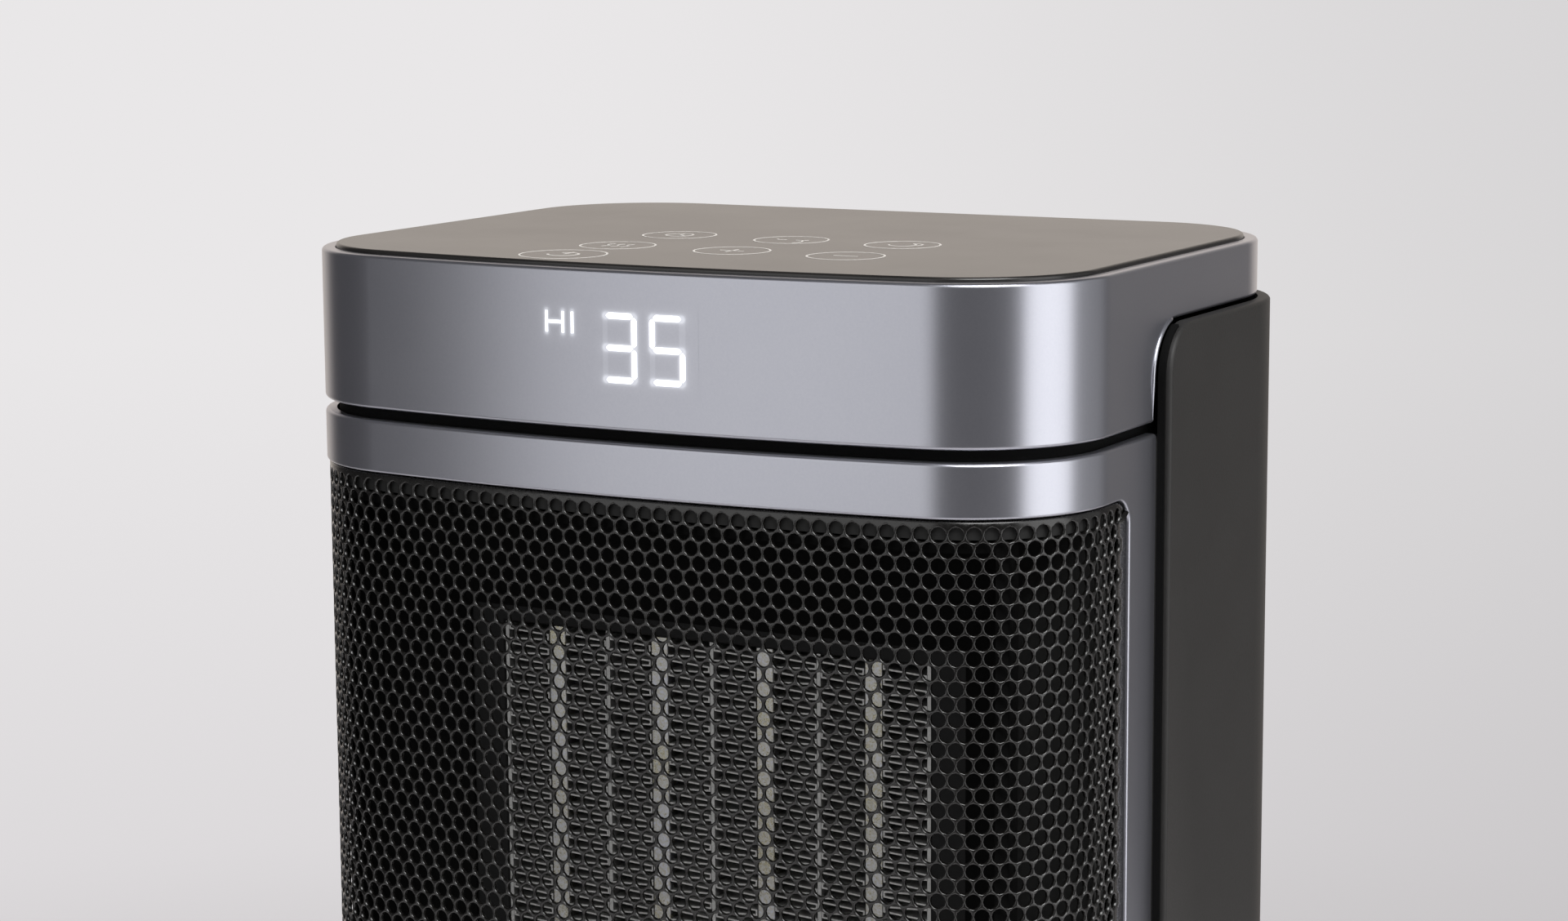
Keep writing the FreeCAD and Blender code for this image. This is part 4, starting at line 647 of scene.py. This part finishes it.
def roundRims(sheet):
    # Burnished front rims of the holes
    choose(sheet)
    editing(True)
    mesh = bmesh.from_edit_mesh(sheet.data)
    rimOf = mesh.verts.layers.int["rim"]
    behind = -grille["thickness"] / 2 * mm
    pick(sheet, "edges", lambda edge: all(vert[rimOf] == 1 and vert.co.z > behind for vert in edge.verts))
    bpy.ops.transform.edge_bevelweight(value=1)
    editing(False)
    applyModifier(sheet, "BEVEL", width=grille["rimRound"] * mm, segments=1, limit_method="WEIGHT",
                  use_clamp_overlap=True)
    sheet.data.attributes.remove(sheet.data.attributes["rim"])


def makeGrille():
    sheet, holes = makeLattice()
    makeBorder(sheet)
    applyModifier(sheet, "SOLIDIFY", thickness=grille["thickness"] * mm, offset=-1)
    roundRims(sheet)
    middle = sum(tower["mesh"]) / 2 * mm
    for vert in sheet.data.vertices:
        x, y = wrapPoint(vert.co.x / mm, grille["recess"] - vert.co.z / mm)
        vert.co = (x * mm, y * mm, middle + vert.co.y)

    # Four lengths, so that no piece grows too heavy
    seam = grille["seam"] * mm
    lengths = []
    for name, keep in (("grilleLeft", lambda x: x < -seam), ("grilleRight", lambda x: x > seam),
                       ("grilleMiddle", lambda x: x < 0)):
        choose(sheet)
        editing(True)
        pick(sheet, "faces", lambda face: keep(face.calc_center_median().x))
        bpy.ops.mesh.separate(type="SELECTED")
        editing(False)
        part = [item for item in bpy.context.selected_objects if item != sheet][0]
        part.name = name
        lengths.append(part)
    sheet.name = "grilleFront"
    for part in lengths + [sheet]:
        smooth(part, grille["shade"])
        finishPiece(part, "tower", "mesh_black", "mesh_grille")
    return holes


print("grille done, holes:", makeGrille())

# Foam seals between the duct's collar and the grille's ends, which keep light and hot air in
seal = {"inset": 1.7, "depth": 4, "low": (64.8, 67.4), "high": (319.6, 322.2), "rear": -26, "shade": 40}
# Upright foam strips on both sides: one from the element's frame to the wall, one behind the seam of the rear cover
strips = {
    "Baffle": {"x": (57.7, 82.7), "y": (-33.2, -28)}, "SeamSeal": {"x": (82.9, 85.1), "y": (-10.3, -4)},
    "z": (40, 333), "round": 0.8, "steps": 3, "shade": 40,
}


def makeSeals():
    near, far = seal["inset"], seal["inset"] + seal["depth"]
    for name, (low, high) in (("lowerSeal", seal["low"]), ("upperSeal", seal["high"])):
        piece = sweepOutline(name, [(near, low), (near, high), (far, high), (far, low), (near, low)])
        cutRear(piece, seal["rear"])
        smooth(piece, seal["shade"])
        finishPiece(piece, "tower", "rubber")
    for prefix, sign in (("right", 1), ("left", -1)):
        for name in ("Baffle", "SeamSeal"):
            x = sorted(sign * limit for limit in strips[name]["x"])
            piece = roundedBlock(x, strips[name]["y"], strips["z"], strips["round"], strips["steps"])
            piece.name = prefix + name
            smooth(piece, strips["shade"])
            finishPiece(piece, "tower", "rubber")


makeSeals()
print("seals done")

# Heating element: tightly folded fin ribbons between the bars and strips
element = {
    "low": 97.5, "high": 289.5, "margin": 0.6, "front": -33, "back": -19, "unit": 24, "units": 4, "bar": 3.9,
    "strip": 0.8, "gap": 0.1, "wave": 3.0, "tilt": 0.55, "sheet": 0.34,
}


def makeFins():
    low, high = element["low"] + element["margin"], element["high"] - element["margin"]
    width = (element["unit"] - element["bar"] - element["strip"]) / 2 - 2 * element["gap"]
    waves = int((high - low) / element["wave"])
    rise, tilt, half = (high - low) / waves / 2, element["tilt"], element["sheet"] / 2

    def firstRun(vert, index):  # slightly slanted, left to right
        far = vert.co.x > 0
        return (width - half if far else half, element["back"] if vert.co.y > 0 else element["front"],
                low + (tilt if far else 0))

    ribbon = startFrom(bpy.ops.mesh.primitive_plane_add, size=1)
    movePoints(ribbon, firstRun)
    pick(ribbon, "edges", lambda edge: all(vert.co.x > width / 2 * mm for vert in edge.verts))
    for step in ((0, 0, rise - tilt), (2 * half - width, 0, tilt), (0, 0, rise - tilt)):
        bpy.ops.mesh.extrude_edges_move(TRANSFORM_OT_translate={"value": Vector(step) * mm})
    editing(False)
    repeat(ribbon, waves, (0, 0, 2 * rise), use_merge_vertices=True, merge_threshold=weld["fins"] * mm)
    applyModifier(ribbon, "SOLIDIFY", thickness=element["sheet"] * mm, offset=0, use_even_offset=True)
    copies = []
    for unit in range(element["units"]):
        middle = element["unit"] * (unit - element["units"] / 2)
        stripSide = middle + element["strip"] / 2 + element["gap"]
        barSide = stripSide + width + 2 * element["gap"] + element["bar"]
        for left in (stripSide, barSide):
            copies.append(addObject("finRibbon", ribbon.data.copy()))
            copies[-1].data.transform(Matrix.Translation((left * mm, 0, 0)))
    bpy.data.objects.remove(ribbon, do_unlink=True)
    finishPiece(joinAll(copies, "heaterFins"), "tower", "aluminium", "ptc_fins")


makeFins()
print("fins done")

# Lit display: segments that shine through the paint on the cap's front
display = {
    "top": 358.6, "bottom": 345.3, "stroke": 1.2, "gap": 0.14, "proud": 0.03, "thick": 0.1, "endRound": 0.16,
    "digits": ((-4.1, 3.4, "abcdg"), (6.1, 13.7, "acdfg")),
    "letters": {"top": 358.3, "bottom": 354.2, "stroke": 0.62, "posts": (-16.59, -12.9, -10.8), "bar": (-16.2, -13.2)},
}
# Segments by the columns and rows of their ends
segments = {
    "a": ((0, 2), (1, 2)), "b": ((1, 1), (1, 2)), "c": ((1, 0), (1, 1)), "d": ((0, 0), (1, 0)),
    "e": ((0, 0), (0, 1)), "f": ((0, 1), (0, 2)), "g": ((0, 1), (1, 1)),
}
# Skin over the digits, and the light in it: strength and reach in mm close to a stroke and farther off
skin = {"middle": (-1.5, 352), "size": (36, 18), "cells": (190, 95), "fade": 2, "shade": 60}
halo = {"close": 0.3, "closeReach": 0.3, "closePower": 1.2, "wide": 0.03, "wideReach": 1.8, "unlit": 0.05}


def bowPoint(x, proud):
    radius = tower["bow"] + proud
    return bowY - sqrt(radius ** 2 - x ** 2)


def strokePlate(a, b, width, pointed):
    # A bar between two points on the cap's face: a hexagon with pointed ends or a rounded bar
    along = (b - a).normalized()
    across = Vector((-along.y, along.x)) * width / 2
    if pointed:
        nib = along * width / 2
        corners = [a, a + nib - across, b - nib - across, b, b - nib + across, a + nib + across]
    else:
        corners = [a - across, b - across, b + across, a + across]
    plate = startFrom(bpy.ops.mesh.primitive_circle_add, vertices=len(corners), radius=mm, fill_type="NGON")
    movePoints(plate, lambda vert, index: corners[index].to_3d())
    bpy.ops.mesh.bevel(offset=width * display["endRound"] * mm, segments=3, affect="VERTICES")
    selectAll()
    bpy.ops.mesh.subdivide(number_cuts=1)
    selectAll()
    pushOut(display["thick"])
    editing(False)
    return plate


def segmentEnds(left, right, key):
    half = display["stroke"] / 2
    low, high = display["bottom"] + half, display["top"] - half
    columns, rows = (left + half, right - half), (low, (low + high) / 2, high)
    a, b = (Vector((columns[column], rows[row])) for column, row in segments[key])
    step = (b - a).normalized() * display["gap"]
    return a + step, b - step


def ledGlow():
    # White light-emitting segments behind a thin painted skin, even and cool
    material, tree, shader, coords = newMaterial("led_light_through_paint", Roughness=0.4)
    noise = addNoise(tree, coords, 1.5, 1)
    power = addRange(tree, (noise, "Fac"), (0, 1), (1.0, 1.15))
    shader.inputs["Base Color"].default_value = linear("#d9dde2")
    shader.inputs["Emission Color"].default_value = linear("#f8fbff")
    linkUp(tree, shader, {"Emission Strength": (power, "Result")})
    return material


def haloPaint():
    # The silver paint again, with the light that spreads in it round the lit strokes, read from the mesh's attribute
    material = finishes["silver"].copy()
    material.name = "satin_metallic_paint_lit"
    tree = material.node_tree
    shader = findNode(tree, "BSDF_PRINCIPLED")
    glow = addNode(tree, "ShaderNodeAttribute", {"attribute_name": "glow"})
    shader.inputs["Emission Color"].default_value = linear("#f1f4fb")
    linkUp(tree, shader, {"Emission Strength": (glow, "Fac")})
    return material


def planStrokes():
    # Lit and unlit strokes, each with its two ends, its width and whether it is pointed
    lit, unlit = [], []
    for left, right, shown in display["digits"]:
        for key in segments:
            (lit if key in shown else unlit).append((*segmentEnds(left, right, key), display["stroke"], True))
    letters = display["letters"]
    low, high, bar = letters["bottom"], letters["top"], letters["bar"]
    lines = [((x, low), (x, high)) for x in letters["posts"]] + [[(x, (low + high) / 2) for x in bar]]
    lit += [(Vector(a), Vector(b), letters["stroke"], False) for a, b in lines]
    return lit, unlit


def nearest(spot, strokes):
    # Distance to the edge of the nearest stroke, less than zero inside it
    gaps = []
    for a, b, width, pointed in strokes:
        along = b - a
        share = max(0, min(1, (spot - a).dot(along) / along.length_squared))
        gaps.append((spot - a - along * share).length - width / 2)
    return min(gaps)


def makeDisplay():
    lit, unlit = planStrokes()
    strokes = joinAll([strokePlate(*stroke) for stroke in lit], "displaySegments")
    closeUp(strokes)
    for vert in strokes.data.vertices:
        depth = vert.co.z / mm - display["thick"]
        vert.co = (vert.co.x, bowPoint(vert.co.x / mm, display["proud"] + depth) * mm, vert.co.y)
    finishPiece(strokes, "tower", "display", material=ledGlow())

    # Skin patch: a fine grid over the digits that carries the halo and the unlit segments
    bpy.ops.mesh.primitive_grid_add(x_subdivisions=skin["cells"][0], y_subdivisions=skin["cells"][1], size=1)
    patch = bpy.context.object
    patch.name = "displaySkin"
    glow = patch.data.attributes.new("glow", "FLOAT", "POINT")
    for index, vert in enumerate(patch.data.vertices):
        across, upward = vert.co.x * skin["size"][0], vert.co.y * skin["size"][1]
        x, z = across + skin["middle"][0], upward + skin["middle"][1]
        gap = max(nearest(Vector((x, z)), lit), 0)
        light = halo["close"] * exp(-(gap / halo["closeReach"]) ** halo["closePower"])
        light += halo["wide"] * exp(-(gap / halo["wideReach"]) ** 2)
        if nearest(Vector((x, z)), unlit) < 0:
            light += halo["unlit"]
        for place, size in ((across, skin["size"][0]), (upward, skin["size"][1])):
            light *= min(1, max(0, (size / 2 - abs(place)) / skin["fade"]))
        glow.data[index].value = light
        vert.co = (x * mm, bowPoint(x, display["proud"] / 2) * mm, z * mm)
    closeUp(patch)
    smooth(patch, skin["shade"])
    finishPiece(patch, "tower", "silver", material=haloPaint())


makeDisplay()
print("display done")

# Touch keys printed on the panel: the middle of each ring
keys = {
    "power": (-21.9, -50.9), "heat": (-21.6, -31), "warmer": (4.3, -31), "cooler": (29.2, -31),
    "timer": (-21.6, -6.6), "swing": (4.3, -6.6), "night": (29.2, -6.6),
}
ink = {"ring": 15, "powerRing": 17, "line": 0.42, "powerLine": 0.5, "stepDeg": 5, "fewest": 8}
# Signs, from the middle of the ring: arcs as (x, y, diameter, sweep, start), strokes as points
signs = {
    "power": {"arcs": [(0, 0, 6, 290, 125)], "strokes": [[(0, 0.6), (0, 3.8)]]},
    "heat": {"strokes": [[(x, -2.4), (x + 0.7, -0.9), (x - 0.7, 0.9), (x, 2.4)] for x in (-2.2, 0, 2.2)]},
    "warmer": {"strokes": [[(-2.4, 0), (2.4, 0)], [(0, -2.4), (0, 2.4)]]},
    "cooler": {"strokes": [[(-2.4, 0), (2.4, 0)]]},
    "timer": {"arcs": [(0, 0, 5.6, 360, 0)], "strokes": [[(0, 1.8), (0, 0), (1.4, -0.9)]]},
    "swing": {"arcs": [(0, -3.2, 7.5, 84, 48)],
              "strokes": [[(x * 3.4, 0.6), (x * 2.5, -0.5), (x * 1.2, 0)] for x in (-1, 1)]},
    "night": {"arcs": [(0, 0, 5.4, 230, 60), (1.6, 1.0, 4.2, 150, 110)]},
}


def printArc(x, y, diameter, line, sweepDeg=360, startDeg=0):
    # Flat ring, or part of one, spun from a short line
    start = radians(startDeg)

    def place(vert, index):
        radius = diameter / 2 + copysign(line / 2, vert.co.x)
        level = tower["panelTop"] - (0 if vert.co.y > 0 else panel["printDepth"])
        return x + cos(start) * radius, y + sin(start) * radius, level

    ring = startFrom(bpy.ops.mesh.primitive_plane_add, size=1)
    movePoints(ring, place)
    bpy.ops.mesh.spin(steps=max(ink["fewest"], int(sweepDeg / ink["stepDeg"])), angle=radians(sweepDeg),
                      axis=(0, 0, 1), center=(x * mm, y * mm, 0), dupli=False)
    editing(False)
    return ring


def printBar(a, b, line):
    # A stroke of ink between two points
    along = (b - a).normalized() * line / 2
    across = Vector((-along.y, along.x))

    def place(vert, index):
        end = b + along if vert.co.x > 0 else a - along
        spot = end + across * (1 if vert.co.y > 0 else -1)
        return spot.x, spot.y, tower["panelTop"] - panel["printDepth"]

    bar = startFrom(bpy.ops.mesh.primitive_plane_add, size=1)
    movePoints(bar, place)
    pushOut(panel["printDepth"])
    editing(False)
    return bar


def makePrints():
    parts = []
    for key, (x, y) in keys.items():
        parts.append(printArc(x, y, ink["powerRing"] if key == "power" else ink["ring"], ink["line"]))
        line = ink["powerLine"] if key == "power" else ink["line"]
        for dx, dy, diameter, sweepDeg, startDeg in signs[key].get("arcs", []):
            parts.append(printArc(x + dx, y + dy, diameter, line, sweepDeg, startDeg))
        for points in signs[key].get("strokes", []):
            spots = [Vector((x + dx, y + dy)) for dx, dy in points]
            parts += [printBar(a, b, line) for a, b in zip(spots, spots[1:])]
    prints = joinAll(parts, "panelPrints")
    closeUp(prints)
    finishPiece(prints, "tower", "panel_glass", material=finishes["ink"])


makePrints()
print("panel prints done")


# CAD pieces whose rounds need smooth shading: a merged copy stands for the node, with this round on its edges
copied = {
    "rear_cover": 0, "base_cover": 0, "base_plate": 0, "rubber_feet": 0.4, "intake_grille": 0.35, "handle_cup": 0,
    "rocker_housing": 0.4, "rocker_paddle": 0.5, "cord_gland": 0.4, "bottom_tray": 0, "upper_deck": 0,
    "tip_plunger": 0, "outlet_duct": 0.4, "ptc_frame": 0.5, "ptc_bars": 0.25, "fan_wheel": 0, "fan_motor": 0,
    "fan_shaft": 0, "swing_motor": 0, "bearing_ring": 0, "base_weight": 0, "swivel_retainer": 0, "top_bearing": 0,
    "motor_mounts": 0, "blower_housing": 0, "thermal_cutout": 0, "swing_pinion": 0, "swing_rack": 0,
}
ownFinish = {"ptc_frame": "phenolic", "ptc_bars": "bars"}
# Degrees: faces flatter than this become one, edges sharper than this are rounded, or stay sharp in the shading
dressing = {"flat": 0.4, "round": 50, "shade": 32}


def dressCopy(name, edgeRound):
    words = name.split("_")
    piece = addObject(words[0] + "".join(word.title() for word in words[1:]), nodes[name].data.copy())
    choose(piece)
    editing(True)
    mergePoints(weld["fine"])
    bpy.ops.mesh.dissolve_limited(angle_limit=radians(dressing["flat"]))
    editing(False)
    if edgeRound:
        applyModifier(piece, "BEVEL", width=edgeRound * mm, segments=2, limit_method="ANGLE",
                      angle_limit=radians(dressing["round"]), use_clamp_overlap=True)
    smooth(piece, dressing["shade"], weighted=bool(edgeRound))
    finishPiece(piece, bodyOf[name], slotOf[name], name, material=finishes[ownFinish.get(name, slotOf[name])])


for name, edgeRound in copied.items():
    dressCopy(name, edgeRound)
print("smoothed copies:", len(copied))

# Screws: pan heads with a cross recess
screw = {
    "head": 3.0, "height": 1.3, "headRound": 0.7, "shank": 1.5, "length": 9, "crossLong": 3.2, "crossWide": 0.7,
    "crossDeep": 0.9, "shade": 35,
}
# Undersides of the heads, as in the CAD
coverPlaces = [(x, 68.7, z) for x in (-46, 46) for z in (35.5, 343.4)]
basePlaces = [(x, y, 2) for x, y, nx, ny in arcSteps((0, 0), 80, radians(65), radians(425), 4)]


def screwPiece(place, outward):
    height, long, wide, deep = (screw[key] for key in ("height", "crossLong", "crossWide", "crossDeep"))
    bpy.ops.mesh.primitive_cylinder_add(vertices=32, radius=screw["head"] * mm, depth=height * mm,
                                        location=(0, 0, height / 2 * mm))
    piece = bpy.context.object
    bpy.ops.object.transform_apply(location=True, rotation=True, scale=True)
    editing(True)
    pick(piece, "edges", lambda edge: all(vert.co.z > height / 2 * mm for vert in edge.verts))
    bpy.ops.mesh.bevel(offset=screw["headRound"] * mm, segments=4, affect="EDGES")
    pick(piece, "faces", lambda face: face.normal.z < -0.9)
    bpy.ops.mesh.inset(thickness=(screw["head"] - screw["shank"]) * mm)
    pushOut(-screw["length"])
    editing(False)
    for x, y in ((long, wide), (wide, long)):
        cutAway(piece, addBlock((-x / 2, x / 2), (-y / 2, y / 2), (height - deep, height + deep)))
    turned = Vector((0, 0, 1)).rotation_difference(Vector(outward)).to_matrix().to_4x4()
    piece.data.transform(Matrix.Translation(Vector(place) * mm) @ turned)
    return piece


def makeScrews(name, places, outward, body, node):
    group = joinAll([screwPiece(place, outward) for place in places], name)
    closeUp(group)
    smooth(group, screw["shade"])
    finishPiece(group, body, "steel", node)


makeScrews("coverScrews", coverPlaces, (0, 1, 0), "tower", "cover_screws")
makeScrews("baseScrews", basePlaces, (0, 0, -1), "base", "base_screws")
print("screws done")

# Stage: a pale floor that fades into the background, which keeps the shadow
stage = {
    "radius": 2.4, "solid": 0.35, "fade": 0.95, "floor": ("#d7d4d5", "#e9e6e7"),
    "backdrop": ("#d9d6d8", "#e9e7e8"),
}


def makeFloor():
    bpy.ops.mesh.primitive_circle_add(vertices=96, radius=stage["radius"], fill_type="NGON")
    floor = bpy.context.object
    floor.name = "studioFloor"
    # Seamless paper: soft matte sheet, a fibre mottle of 3 mm
    material, tree, shader, coords = newMaterial("seamless_paper", Roughness=0.9)
    fibre = addNoise(tree, coords, 3, 3)
    ramp = addRamp(tree, (fibre, "Fac"), stage["floor"])
    linkUp(tree, shader, {"Base Color": (ramp, "Color")})
    far = addNode(tree, "ShaderNodeVectorMath", {"operation": "LENGTH"}, {0: (coords, "Object")})
    fade = addRange(tree, (far, "Value"), (stage["solid"], stage["fade"]), kind="SMOOTHSTEP")
    clear = addNode(tree, "ShaderNodeBsdfTransparent")
    mix = addMix(tree, (fade, "Result"), (shader, "BSDF"), (clear, "BSDF"))
    linkUp(tree, findNode(tree, "OUTPUT_MATERIAL"), {"Surface": (mix, "Shader")})
    floor.data.materials.append(material)


makeFloor()

# World: pale behind the object for the camera and in reflections, a dim room in front, even light on matte surfaces
room = {
    "ambient": 0.36, "tint": (1, 0.99, 0.98, 1), "dim": "#444345", "light": "#e7ddd4", "azimuth": 208,
    "lightSpan": (0.6, 0.9), "horizon": (-0.3, -0.12), "shadeSpan": (-0.1, 0.3), "shade": (1, 0.82),
}


def makeWorld():
    world = bpy.data.worlds.new("studio")
    bpy.context.scene.world = world
    world.use_nodes = True
    tree = world.node_tree
    tree.nodes.clear()
    coords = addNode(tree, "ShaderNodeTexCoord")
    parts = addNode(tree, "ShaderNodeSeparateXYZ", links={"Vector": (coords, "Generated")})
    level = addRange(tree, (parts, "Z"), room["horizon"])
    sheet = addRamp(tree, (level, "Result"), stage["backdrop"])
    behind = radians(room["azimuth"])
    across, facing = (
        addNode(tree, "ShaderNodeVectorMath", {"operation": "DOT_PRODUCT", 1: way}, {0: (coords, "Generated")})
        for way in ((-cos(behind), -sin(behind), 0), (sin(behind), -cos(behind), 0)))
    shade = addRange(tree, (across, "Value"), room["shadeSpan"], room["shade"], "SMOOTHSTEP")
    pale = addNode(tree, "ShaderNodeVectorMath", {"operation": "SCALE"},
                   {0: (sheet, "Color"), "Scale": (shade, "Result")})
    spread = addRange(tree, (facing, "Value"), room["lightSpan"], kind="SMOOTHSTEP")
    reflected = addNode(tree, "ShaderNodeMix",
                        {"data_type": "RGBA", 6: linear(room["dim"]), 7: linear(room["light"])},
                        {0: (spread, "Result")})
    rays = addNode(tree, "ShaderNodeLightPath")
    shiny = addNode(tree, "ShaderNodeMath", {"operation": "MAXIMUM"},
                    {0: (rays, "Is Glossy Ray"), 1: (rays, "Is Transmission Ray")})
    even = addNode(tree, "ShaderNodeBackground", {"Color": room["tint"], "Strength": room["ambient"]})
    mirror = addNode(tree, "ShaderNodeBackground", links={"Color": (reflected, 2)})
    seen = addNode(tree, "ShaderNodeBackground", links={"Color": (pale, "Vector")})
    first = addMix(tree, (shiny, "Value"), (even, "Background"), (mirror, "Background"))
    last = addMix(tree, (rays, "Is Camera Ray"), (first, "Shader"), (seen, "Background"))
    addNode(tree, "ShaderNodeOutputWorld", links={"Surface": (last, "Shader")})


makeWorld()

# Soft boxes: azimuth from the front towards +X in degrees; distance, height, the height aimed at and size in metres;
# power in watts
softBoxes = {
    "frontBox": {"azimuth": -18, "distance": 1.3, "height": 0.55, "aim": 0.55, "size": (1.0, 1.3), "power": 3.9},
    "sideBox": {"azimuth": 86, "distance": 1.0, "height": 0.5, "aim": 0.5, "size": (0.7, 1.2), "power": 4.8},
    "sideFill": {"azimuth": 126, "distance": 1.1, "height": 0.5, "aim": 0.5, "size": (0.6, 1.2), "power": 0.55},
    "topBox": {"azimuth": 45, "distance": 0.95, "height": 1.45, "aim": 0.3, "size": (0.9, 0.9), "power": 21},
}


def makeLights():
    for name, box in softBoxes.items():
        lamp = bpy.data.lights.new(name, "AREA")
        lamp.shape = "RECTANGLE"
        lamp.size, lamp.size_y = box["size"]
        lamp.energy = box["power"]
        item = addObject(name, lamp)
        angle = radians(box["azimuth"])
        item.location = (sin(angle) * box["distance"], -cos(angle) * box["distance"], box["height"])
        aim = Vector((0, 0, box["aim"])) - item.location
        item.rotation_euler = aim.to_track_quat("-Z", "Y").to_euler()
        item.visible_camera = False


makeLights()
print("lights done:", ", ".join(softBoxes))

# Camera: fitted to the photograph, angles in degrees, lengths in millimetres
view = {"azimuth": 28.43, "elevation": 9.01, "roll": -0.34, "distance": 702.93, "right": 0.84, "up": 44.64,
        "lens": 79.52}


def makeCamera():
    a, e, roll = (radians(view[key]) for key in ("azimuth", "elevation", "roll"))
    back = Vector((sin(a) * cos(e), -cos(a) * cos(e), sin(e)))
    across = Vector((cos(a), sin(a), 0))
    upward = back.cross(across)
    right = across * cos(roll) + upward * sin(roll)
    top = upward * cos(roll) - across * sin(roll)
    spot = Vector((0, 0, tower["rim"])) + back * view["distance"] - right * view["right"] - top * view["up"]
    lens = bpy.data.cameras.new("photoCamera")
    lens.sensor_width = 36
    lens.sensor_fit = "HORIZONTAL"
    lens.lens = view["lens"]
    lens.clip_start = 0.01
    lens.clip_end = 50
    item = addObject("photoCamera", lens)
    place = Matrix((right, top, back)).transposed().to_4x4()
    place.translation = spot * mm
    item.matrix_world = place
    bpy.context.scene.camera = item


makeCamera()
bpy.context.scene.view_settings.view_transform = "Standard"
print("camera done")
